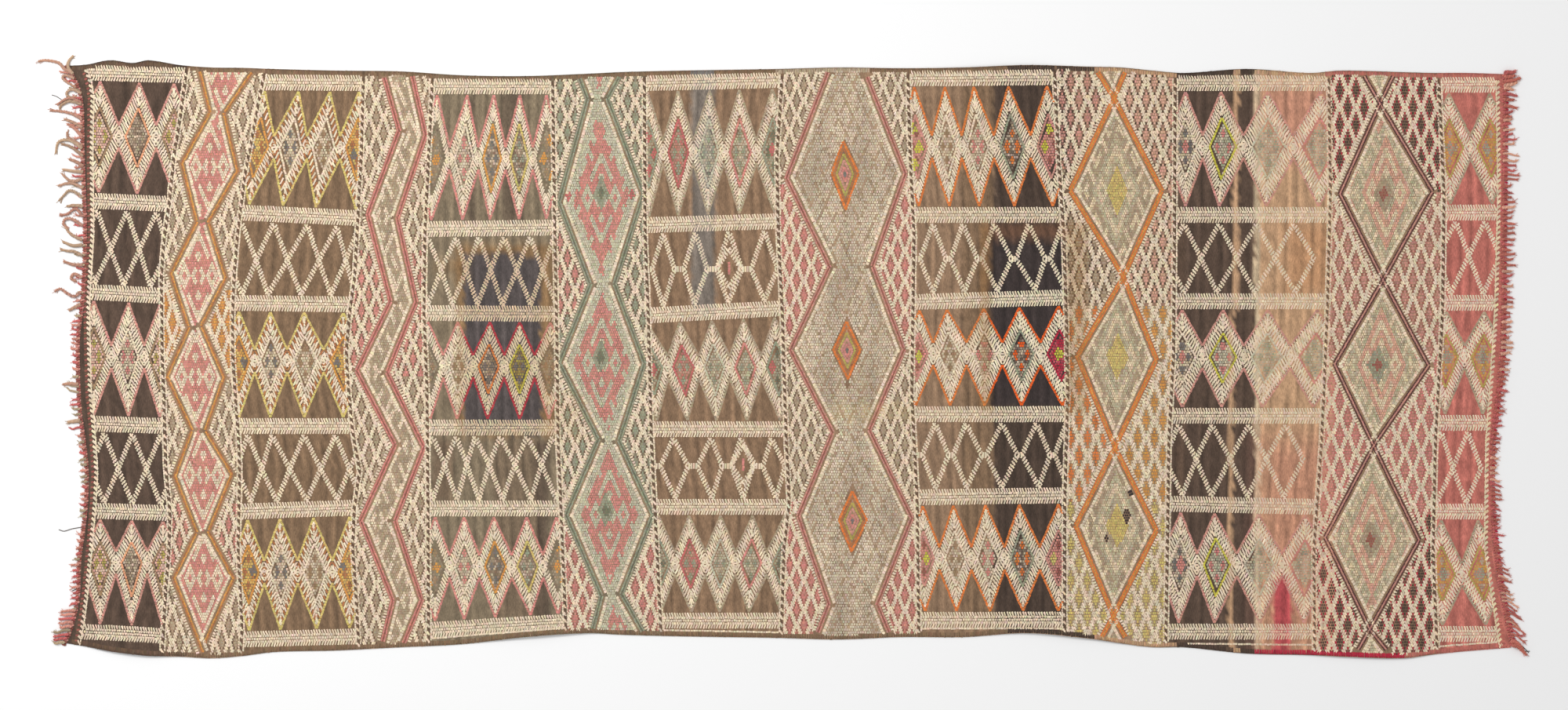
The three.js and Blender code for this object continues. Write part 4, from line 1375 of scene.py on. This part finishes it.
def dye_attribute(mesh, colours):
    """Keeps a colour for each point, read by the yarn materials."""
    layer = mesh.attributes.new("yarn", "FLOAT_COLOR", "POINT")
    values = np.ones((len(colours), 4), np.float32)
    values[:, :3] = linear(colours)
    layer.data.foreach_set("color", values.ravel())


def socket(tree, name, kind, into=True, default=None):
    """A named input or output of a node tree."""
    made = tree.interface.new_socket(name=name, in_out="INPUT" if into else "OUTPUT", socket_type=kind)
    if default is not None:
        made.default_value = default
    return made


def fill_inputs(tree, node, inputs):
    """Links each input of a node, by its name or number, to a socket, or sets it to a value."""
    for key, value in inputs.items():
        if isinstance(value, bpy.types.NodeSocket):
            tree.links.new(value, node.inputs[key])
        else:
            node.inputs[key].default_value = value
    return node


def add_node(tree, kind, inputs, operation=None):
    """A new node with its inputs filled."""
    node = tree.nodes.new(kind)
    if operation:
        node.operation = operation
    return fill_inputs(tree, node, inputs)


def named_attribute(tree, name, kind):
    """The output that reads a named attribute."""
    node = tree.nodes.new("GeometryNodeInputNamedAttribute")
    node.data_type = kind
    node.inputs["Name"].default_value = name
    return node.outputs["Attribute"]


def growing_tree(name, *sockets):
    """A Geometry Nodes tree that takes points and a yarn, with the outputs of its entry."""
    tree = bpy.data.node_groups.new(name, "GeometryNodeTree")
    socket(tree, "Geometry", "NodeSocketGeometry")
    for label, kind, default in sockets:
        socket(tree, label, kind, default=default)
    socket(tree, "Yarn", "NodeSocketMaterial")
    socket(tree, "Geometry", "NodeSocketGeometry", into=False)
    return tree, tree.nodes.new("NodeGroupInput").outputs


def end_tree(tree, source, yarn):
    """Makes what a tree has grown real, and gives it its yarn."""
    real = add_node(tree, "GeometryNodeRealizeInstances", {"Geometry": source}).outputs["Geometry"]
    paint = add_node(tree, "GeometryNodeSetMaterial", {"Geometry": real, "Material": yarn})
    add_node(tree, "NodeGroupOutput", {"Geometry": paint.outputs["Geometry"]})
    return tree


def stitch_tree():
    """Puts a stitch on every point, sized and turned by the point's own values."""
    tree, entry = growing_tree(
        "stitch_rows", ("Stitch", "NodeSocketObject", None), ("Relief", "NodeSocketFloat", 0.001)
    )
    stitch = add_node(tree, "GeometryNodeObjectInfo", {"Object": entry["Stitch"]})
    stitch.transform_space = "ORIGINAL"
    turn = add_node(tree, "ShaderNodeCombineXYZ", {"Z": named_attribute(tree, "turn", "FLOAT")})
    relief = add_node(tree, "ShaderNodeCombineXYZ", {"X": 1.0, "Y": 1.0, "Z": entry["Relief"]})
    sides = {0: named_attribute(tree, "size", "FLOAT_VECTOR"), 1: relief.outputs["Vector"]}
    size = add_node(tree, "ShaderNodeVectorMath", sides, "MULTIPLY")
    spread = add_node(
        tree,
        "GeometryNodeInstanceOnPoints",
        {
            "Points": entry["Geometry"],
            "Instance": stitch.outputs["Geometry"],
            "Rotation": turn.outputs["Vector"],
            "Scale": size.outputs["Vector"],
        },
    )
    return end_tree(tree, spread.outputs["Instances"], entry["Yarn"])


def yarn_tree():
    """Gives lines of points a round section of their own thickness."""
    tree, entry = growing_tree("plied_yarn", ("Sides", "NodeSocketInt", YARN_SIDES))
    lines = add_node(tree, "GeometryNodeMeshToCurve", {"Mesh": entry["Geometry"]}).outputs["Curve"]
    radius = named_attribute(tree, "thickness", "FLOAT")
    thick = add_node(tree, "GeometryNodeSetCurveRadius", {"Curve": lines, "Radius": radius})
    circle = {"Radius": 1.0, "Resolution": entry["Sides"]}
    section = add_node(tree, "GeometryNodeCurvePrimitiveCircle", circle).outputs["Curve"]
    curves = {"Curve": thick.outputs["Curve"], "Profile Curve": section, "Fill Caps": True}
    tube = add_node(tree, "GeometryNodeCurveToMesh", curves)
    if "Scale" in tube.inputs:
        fill_inputs(tree, tube, {"Scale": named_attribute(tree, "thickness", "FLOAT")})
    return end_tree(tree, tube.outputs["Mesh"], entry["Yarn"])


def grown(name, mesh, tree, material, **values):
    """A plain mesh object of what a Geometry Nodes tree makes from a mesh."""
    seed = put_in_scene(mesh, name + "_points")
    grow = seed.modifiers.new("grow", "NODES")
    grow.node_group = tree
    names = {item.name: item.identifier for item in tree.interface.items_tree if item.in_out == "INPUT"}
    grow[names["Yarn"]] = material
    for label, value in values.items():
        grow[names[label]] = value
    graph = bpy.context.evaluated_depsgraph_get()
    result = bpy.data.meshes.new_from_object(seed.evaluated_get(graph))
    result.name = name
    bpy.data.objects.remove(seed)
    for label in ("turn", "size", "thickness", "radius"):
        if label in result.attributes:
            result.attributes.remove(result.attributes[label])
    plan_uv(result)
    return put_in_scene(result, name)


def stitch_shape(name, section):
    """A helper stitch, one long and one wide, from rings of (radius, height, points)."""
    verts, faces = [], []
    for radius, height, count in section:
        for step in range(count):
            angle = 2 * math.pi * (step + 0.5) / count
            reach = 1 / max(abs(math.cos(angle)), abs(math.sin(angle))) if count == 4 else 1.0
            verts.append((radius * math.cos(angle) * reach, radius * math.sin(angle) * reach, height))
    first = 0
    for (_, _, count), (_, _, above) in zip(section, section[1:]):
        for step in range(count):
            after = (step + 1) % count
            if above == 1:
                faces.append((first + step, first + after, first + count))
            else:
                faces.append((first + step, first + after, first + count + after, first + count + step))
        first += count
    faces.append(tuple(range(section[0][2]))[::-1])
    mesh = bpy.data.meshes.new(name)
    mesh.from_pydata(verts, [], faces)
    mesh.polygons.foreach_set("use_smooth", [True] * len(faces))
    for edge in mesh.edges:
        edge.use_edge_sharp = all(mesh.vertices[v].co.z == 0 for v in edge.vertices)
    return put_in_scene(mesh, name)


# Rings of the two kinds of stitch from foot to top, and the height share under which a stitch is left out

SMALL_STITCH = ((0.5, 0.0, 4), (0.0, 1.0, 1))
ROUND_STITCH = ((0.5, 0.0, 8), (0.42, 0.62, 8), (0.0, 1.0, 1))
FLATTEST_STITCH = 0.05


def stitches(name, rows, base_height, relief, shape, material):
    """A piece of stitches from a loom's rows."""
    rows = rows[rows[:, 5] > FLATTEST_STITCH]
    x, y = model_place(rows[:, 0], rows[:, 1])
    z = swell(rows[:, 0], rows[:, 1]) + base_height
    mesh = bpy.data.meshes.new(name + "_points")
    mesh.vertices.add(len(rows))
    mesh.vertices.foreach_set("co", np.column_stack((x, y, z)).astype(np.float32).ravel())
    dye_attribute(mesh, rows[:, 6:])
    turn = mesh.attributes.new("turn", "FLOAT", "POINT")
    turn.data.foreach_set("value", (-rows[:, 2]).astype(np.float32))
    size = np.column_stack((rows[:, 3] * SQUARE, rows[:, 4] * SQUARE, rows[:, 5]))
    scale = mesh.attributes.new("size", "FLOAT_VECTOR", "POINT")
    scale.data.foreach_set("vector", size.astype(np.float32).ravel())
    return grown(name, mesh, TREES["stitch"], material, Stitch=shape, Relief=relief)


# Geometry Nodes trees by their use, filled by main

TREES = {}


# Wools: grain along x, y and z for each metre, contrast of the fibres, fleck, and depth of the relief in
# metres

Wool = namedtuple("Wool", "grain contrast fleck depth")
WOOLS = {
    "ribbed_wool": Wool((520.0, 110.0, 60.0), 0.75, 0.24, 0.0009),
    "brocade_wool": Wool((900.0, 900.0, 900.0), 0.22, 0.10, 0.0003),
    "twined_wool": Wool((1100.0, 1100.0, 1100.0), 0.25, 0.12, 0.0003),
    "fringe_wool": Wool((1300.0, 1300.0, 1300.0), 0.3, 0.15, 0.0003),
}


def grain_group():
    """Uneven dye and raised fibres of wool, fine across one way and long along the other."""
    tree = bpy.data.node_groups.new("wool_grain", "ShaderNodeTree")
    socket(tree, "Yarn Colour", "NodeSocketColor")
    socket(tree, "Grain", "NodeSocketVector", default=(600.0, 60.0, 60.0))
    socket(tree, "Contrast", "NodeSocketFloat", default=0.2)
    socket(tree, "Fleck", "NodeSocketFloat", default=0.1)
    socket(tree, "Colour", "NodeSocketColor", into=False)
    socket(tree, "Height", "NodeSocketFloat", into=False)
    entry = tree.nodes.new("NodeGroupInput").outputs
    where = tree.nodes.new("ShaderNodeTexCoord").outputs["Object"]
    stretch = add_node(tree, "ShaderNodeVectorMath", {0: where, 1: entry["Grain"]}, "MULTIPLY")
    long_noise = {"Vector": stretch.outputs["Vector"], "Scale": 1.0, "Detail": 3.0, "Roughness": 0.65}
    fibres = add_node(tree, "ShaderNodeTexNoise", long_noise).outputs["Fac"]
    even_noise = {"Vector": where, "Scale": 38.0, "Detail": 4.0}
    fleck = add_node(tree, "ShaderNodeTexNoise", even_noise).outputs["Fac"]

    def swing(source, amount):
        """1 plus or minus the amount, as the noise goes from dark to light."""
        middle = add_node(tree, "ShaderNodeMath", {0: source, 1: 2.0, 2: -1.0}, "MULTIPLY_ADD").outputs[0]
        return add_node(tree, "ShaderNodeMath", {0: middle, 1: amount, 2: 1.0}, "MULTIPLY_ADD").outputs[0]

    swings = {0: swing(fibres, entry["Contrast"]), 1: swing(fleck, entry["Fleck"])}
    both = add_node(tree, "ShaderNodeMath", swings, "MULTIPLY").outputs[0]
    tint = add_node(tree, "ShaderNodeVectorMath", {0: entry["Yarn Colour"], "Scale": both}, "SCALE")
    add_node(tree, "NodeGroupOutput", {"Colour": tint.outputs["Vector"], "Height": fibres})
    return tree


def wool(name):
    """A wool material whose colour comes from the yarn attribute."""
    grain, contrast, fleck, depth = WOOLS[name]
    material = bpy.data.materials.new(name)
    material.use_nodes = True
    tree = material.node_tree
    colour = tree.nodes.new("ShaderNodeAttribute")
    colour.attribute_name = "yarn"
    group = tree.nodes.new("ShaderNodeGroup")
    group.node_tree = bpy.data.node_groups["wool_grain"]
    values = {"Yarn Colour": colour.outputs["Color"], "Grain": grain, "Contrast": contrast, "Fleck": fleck}
    fill_inputs(tree, group, values)
    relief = {"Height": group.outputs["Height"], "Distance": depth, "Strength": 0.7}
    bump = add_node(tree, "ShaderNodeBump", relief)
    surface = {
        "Base Color": group.outputs["Colour"],
        "Normal": bump.outputs["Normal"],
        "Roughness": 0.95,
        "Specular IOR Level": 0.15,
        "Sheen Weight": 0.06,
        "Sheen Roughness": 0.6,
    }
    fill_inputs(tree, tree.nodes["Principled BSDF"], surface)
    return material


def yarn_dyes(settings):
    """All yarn colours of the settings by name."""
    return {name: np.array(getattr(settings, name)) for name in RugDyes.__annotations__}


# Pieces: the columns on each sheet, the sheets' cells in squares, across plain columns and brocades and
# down the columns, and the painted shade that darkens the underside's colour

SHEETS = ((1, 2), (3, 4), (5, 6), (7, 8), (9, 10), (11, 12, 13))
PLAIN_STEP = 4.2
BROCADE_STEP = 10.0
ROW_STEP = 8.0
UNDERSIDE_SHADE = 0.92


def sheet_lines(columns):
    """Functions of y for the lines of a sheet's columns, from its left side to its right."""
    numbers = range(columns[0] - 1, columns[-1] + 1)
    lines = [(lambda y, number=number: column_line(number, y)) for number in numbers]
    if columns[0] == 1:
        lines.insert(0, lambda y: left_end(y) + STRIP_SQUARES)
    if columns[-1] == LAST_COLUMN:
        lines.append(lambda y: right_end(y) - STRIP_SQUARES)
    return lines


def ground_sheet(name, columns, sizes, yarn, material):
    """A closed thin sheet under some columns, with its flat width and length."""
    lines = sheet_lines(columns)
    spans = []
    for number, (near, far) in enumerate(zip(lines, lines[1:])):
        middle = (near(COUNT_HEIGHT) + far(COUNT_HEIGHT)) / 2
        column = sum(middle > column_line(line, COUNT_HEIGHT) for line in range(1, LAST_COLUMN)) + 1
        step = PLAIN_STEP if column in PLAIN_COLUMNS else BROCADE_STEP
        cells = max(int(round((far(COUNT_HEIGHT) - near(COUNT_HEIGHT)) / step)), 1)
        spans += [(number, share) for share in np.arange(cells) / cells]
    spans.append((len(lines) - 2, 1.0))
    rows = int(round((bottom_edge(1000.0) - top_edge(1000.0)) / ROW_STEP))
    down = np.linspace(0, 1, rows + 1)
    x = np.empty((len(spans), rows + 1))
    y = np.empty_like(x)
    for place, (number, share) in enumerate(spans):
        across = mix(lines[number](COUNT_HEIGHT), lines[number + 1](COUNT_HEIGHT), share) + 0 * down
        for _ in range(4):
            height = mix(top_edge(across), bottom_edge(across), down)
            across = mix(lines[number](height), lines[number + 1](height), share)
        x[place], y[place] = across, height
    lift = swell(x, y)
    model_x, model_y = model_place(x, y)
    top = np.stack((model_x, model_y, lift + sizes.ground_height), axis=-1).reshape(-1, 3)
    under = np.stack((model_x, model_y, lift + sizes.underside_height), axis=-1).reshape(-1, 3)
    cells = len(spans) - 1
    upper, lower = grid_faces(cells, rows, 0, False), grid_faces(cells, rows, x.size, True)
    faces = np.concatenate((upper, lower, rim_faces(cells, rows)[:, ::-1]))
    mesh = bpy.data.meshes.new(name)
    mesh.from_pydata(np.concatenate((top, under)).tolist(), [], faces.tolist())
    mesh.polygons.foreach_set("use_smooth", [True] * len(faces))
    colours = ground_colour(yarn, x.ravel(), y.ravel())
    # The underside's points take the top's colours times UNDERSIDE_SHADE, a painted shade
    dye_attribute(mesh, np.concatenate((colours, colours * UNDERSIDE_SHADE)))
    plan_uv(mesh, halves=True)
    mesh.materials.append(material)
    piece = put_in_scene(mesh, name)
    long = (model_y.max(axis=1) - model_y.min(axis=1)).mean()
    wide = (model_x.max(axis=0) - model_x.min(axis=0)).mean()
    return piece, (float(wide), float(long))


def column_name(column):
    """Name of a column's piece."""
    return f"plain_column_{column}" if column in PLAIN_COLUMNS else f"brocade_column_{column}"


def dress(piece, node, finish):
    """A piece rides with the rug and stands for a plain node."""
    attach(piece, "root")
    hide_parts(node)


class RUG_OT_ground(bpy.types.Operator):
    """Six closed sheets of plain weave, dyed in bands and stained"""

    bl_idname = "rug.ground"
    bl_label = "Ground"

    def execute(self, context):
        settings = context.scene
        yarn = yarn_dyes(settings.rug_dyes)
        material = wool("ribbed_wool")
        for number, columns in enumerate(SHEETS, 1):
            name = f"ground_{number}"
            piece, flat = ground_sheet(name, columns, settings.rug_sizes, yarn, material)
            dress(piece, "cloth", "woven_wool")
            piece["flat"] = flat
        return {"FINISHED"}


class RUG_OT_columns(bpy.types.Operator):
    """Thirteen columns of raised stitches: seven plain ones with bars, six brocaded ones"""

    bl_idname = "rug.columns"
    bl_label = "Columns"

    def execute(self, context):
        settings = context.scene
        yarn = yarn_dyes(settings.rug_dyes)
        sizes = settings.rug_sizes
        material = wool("brocade_wool")
        shape = stitch_shape("stitch", SMALL_STITCH)
        for column in range(1, LAST_COLUMN + 1):
            loom = Loom(yarn, column)
            weave = weave_plain if column in PLAIN_COLUMNS else weave_brocade
            weave(loom, column)
            for number, wide, high, colour, places in SPOTS:
                for x, y in places if number == column else ():
                    loom.spot(x, y, wide, high, colour)
            for number, *change in REDYED:
                if number == column:
                    loom.redye(*change)
            loom.trim(column)
            weave_borders(loom, column)
            foot = sizes.ground_height - sizes.stitch_sink
            piece = stitches(column_name(column), loom.finished(), foot, sizes.stitch_rise, shape, material)
            dress(piece, "cloth", "woven_wool")
        bpy.data.objects.remove(shape)
        return {"FINISHED"}


class RUG_OT_end_strips(bpy.types.Operator):
    """The twined strip at each short end"""

    bl_idname = "rug.end_strips"
    bl_label = "End strips"

    def execute(self, context):
        settings = context.scene
        yarn = yarn_dyes(settings.rug_dyes)
        sizes = settings.rug_sizes
        material = wool("twined_wool")
        shape = stitch_shape("wrap", ROUND_STITCH)
        ends = (
            ("left", left_end, (84, 822), 1, ("brick", "dusty_pink", "brick"), "fringe_faded"),
            ("right", right_end, (95, 822), -1, ("coral", "rose", "coral"), "fringe_red"),
        )
        for side, end_at, span, inward, colours, finish in ends:
            loom = Loom(yarn, STRIP_SEED + inward)
            points = line_points(end_at, *span)
            for offset, lean in ((1.4, 0.55), (3.8, -0.55)):
                loom.comb(points, colours, 4.6, offset=-inward * offset, lean=lean, pitch=3.3, width=3.3)
            loom.strand(points, colours[::-1], width=3.0, offset=-inward * 2.6, height=0.45, pitch=3.3)
            if side == "right":
                ruffle = ("rose", "coral", "crimson")
                loom.comb(points, ruffle, 5.2, offset=-1.4, lean=0.35, pitch=3.1, width=2.9, height=0.9)
            rows = loom.finished()
            name = f"end_strip_{side}"
            piece = stitches(name, rows, sizes.underside_height, sizes.strip_rise, shape, material)
            dress(piece, f"fringe_{side}", finish)
        bpy.data.objects.remove(shape)
        return {"FINISHED"}


def yarn_piece(name, lines, material):
    """One mesh of round yarns from their lines, thicknesses and colours."""
    places = np.concatenate([line[0] for line in lines])
    edges = []
    first = 0
    for line in lines:
        count = len(line[0])
        edges += [(first + step, first + step + 1) for step in range(count - 1)]
        first += count
    mesh = bpy.data.meshes.new(name + "_lines")
    mesh.from_pydata(places.tolist(), edges, [])
    dye_attribute(mesh, np.clip(np.concatenate([line[2] for line in lines]), 0, 1))
    thick = mesh.attributes.new("thickness", "FLOAT", "POINT")
    thick.data.foreach_set("value", np.concatenate([line[1] for line in lines]).astype(np.float32))
    return grown(name, mesh, TREES["yarn"], material, Sides=YARN_SIDES)


class RUG_OT_fringes(bpy.types.Operator):
    """Loose plied yarns and short tufts at both short ends"""

    bl_idname = "rug.fringes"
    bl_label = "Fringes"

    def execute(self, context):
        yarn = yarn_dyes(context.scene.rug_dyes)
        material = wool("fringe_wool")
        for side, rows, end_at, outward, dyes, finish in (
            ("left", LEFT_TUFTS, left_end, -1, ("dusty_pink", "rose", "greige"), "fringe_faded"),
            ("right", RIGHT_TUFTS, right_end, 1, ("coral", "rose", "coral", "faded_pink"), "fringe_red"),
        ):
            random = np.random.default_rng(FRINGE_SEED + outward)
            lines = []
            for path in LEFT_YARNS if side == "left" else ():
                tone = mix(yarn["greige"], yarn["rose"], random.uniform(0.1, 0.45))
                plied(path, YARN_WIDTH, random, tone, lines, plies=3)
            for path, width in tuft_paths(rows, end_at, outward, random):
                plied(path, width * 1.25, random, yarn[dyes[random.integers(len(dyes))]], lines)
            for path in THREADS:
                if (path[0][0] < CHART_MIDDLE[0]) == (side == "left"):
                    lines.append(thread(path, yarn["dusk"]))
            dress(yarn_piece(f"fringe_yarns_{side}", lines, material), f"fringe_{side}", finish)
        return {"FINISHED"}


class RugStudio(bpy.types.PropertyGroup):
    """Floor, light and camera."""

    floor_colour: bpy.props.FloatVectorProperty(
        name="Floor", description="Colour of the floor", subtype="COLOR", size=3, default=(0.95, 0.95, 0.95)
    )
    lamp_power: bpy.props.FloatProperty(
        name="Lamp", description="Power of the soft lamp", default=205.0, min=0.0, unit="POWER"
    )
    sky_strength: bpy.props.FloatProperty(
        name="Sky", description="Strength of the even light all round", default=0.67, min=0.0
    )
    lens: bpy.props.FloatProperty(
        name="Lens", description="Focal length of the camera", default=100.0, unit="CAMERA"
    )


# Floor, lamp and camera, in metres; the sensor in millimetres

FLOOR_HALF = 6.0
LAMP_PLACE = (-3.4, 2.8, 4.6)
LAMP_SIZE = 2.2
SENSOR_WIDTH = 36.0
FARTHEST = 100.0


class RUG_OT_studio(bpy.types.Operator):
    """A pale floor, soft light from the upper left and a camera straight above"""

    bl_idname = "rug.studio"
    bl_label = "Studio"

    def execute(self, context):
        scene = context.scene
        studio = scene.rug_studio
        mesh = bpy.data.meshes.new("floor")
        corners = [(x * FLOOR_HALF, y * FLOOR_HALF, 0.0) for x, y in ((-1, -1), (1, -1), (1, 1), (-1, 1))]
        mesh.from_pydata(corners, [], [(0, 1, 2, 3)])
        material = bpy.data.materials.new("floor_paint")
        material.use_nodes = True
        tree = material.node_tree
        paint = {"Base Color": (*studio.floor_colour, 1.0), "Roughness": 0.9}
        fill_inputs(tree, tree.nodes["Principled BSDF"], paint)
        mesh.materials.append(material)
        put_in_scene(mesh, "floor")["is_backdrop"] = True
        lamp = bpy.data.lights.new("soft_lamp", "AREA")
        lamp.shape = "SQUARE"
        lamp.size = LAMP_SIZE
        lamp.energy = studio.lamp_power
        holder = put_in_scene(lamp, "soft_lamp")
        holder.location = LAMP_PLACE
        holder.rotation_euler = (-Vector(LAMP_PLACE)).to_track_quat("-Z", "Y").to_euler()
        world = bpy.data.worlds.new("even_light")
        world.use_nodes = True
        tree = world.node_tree
        sky = {"Color": (1.0, 1.0, 1.0, 1.0), "Strength": studio.sky_strength}
        fill_inputs(tree, tree.nodes["Background"], sky)
        scene.world = world
        scene.view_settings.view_transform = "Standard"
        camera = bpy.data.cameras.new("camera")
        camera.lens = studio.lens
        camera.sensor_width = SENSOR_WIDTH
        camera.clip_end = FARTHEST
        viewer = put_in_scene(camera, "camera")
        x, y = model_place(*VIEW_MIDDLE)
        viewer.location = (float(x), float(y), VIEW_WIDTH * studio.lens / camera.sensor_width)
        scene.camera = viewer
        return {"FINISHED"}


class RUG_PT_maker(bpy.types.Panel):
    """Builds the rug step by step"""

    bl_idname = "RUG_PT_maker"
    bl_label = "Rug"
    bl_space_type = "VIEW_3D"
    bl_region_type = "UI"
    bl_category = "Rug"

    def draw(self, context):
        for maker in MAKERS:
            self.layout.operator(maker.bl_idname)
        for group in (context.scene.rug_sizes, context.scene.rug_studio, context.scene.rug_dyes):
            for name in type(group).__annotations__:
                self.layout.prop(group, name)


MAKERS = (RUG_OT_ground, RUG_OT_columns, RUG_OT_end_strips, RUG_OT_fringes, RUG_OT_studio)
GROUPS = {"rug_dyes": RugDyes, "rug_sizes": RugSizes, "rug_studio": RugStudio}


def register():
    """Adds the settings, operators and panel."""
    for name, group in GROUPS.items():
        bpy.utils.register_class(group)
        setattr(bpy.types.Scene, name, bpy.props.PointerProperty(type=group))
    for maker in (*MAKERS, RUG_PT_maker):
        bpy.utils.register_class(maker)


def unregister():
    """Takes them away again."""
    for maker in (RUG_PT_maker, *MAKERS[::-1]):
        bpy.utils.unregister_class(maker)
    for name, group in GROUPS.items():
        delattr(bpy.types.Scene, name)
        bpy.utils.unregister_class(group)


def declare_sheets():
    """Looks up each sheet of cloth, the columns that lie on it and its flat size."""
    for number, columns in enumerate(SHEETS, 1):
        sheet = bpy.data.objects[f"ground_{number}"]
        on_it = [bpy.data.objects[column_name(column)] for column in columns]
        tuple(sheet["flat"])


def main():
    """Builds everything in order and works out the two boxes."""
    cad_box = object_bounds()
    register()
    grain_group()
    TREES["stitch"] = stitch_tree()
    TREES["yarn"] = yarn_tree()
    bpy.ops.rug.ground()
    bpy.ops.rug.columns()
    bpy.ops.rug.end_strips()
    bpy.ops.rug.fringes()
    bpy.ops.rug.studio()
    declare_sheets()
    boxes = {"cad": cad_box, "visual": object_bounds()}
    lists = {name: [list(corner) for corner in box] for name, box in boxes.items()}


if __name__ == "__main__":
    main()
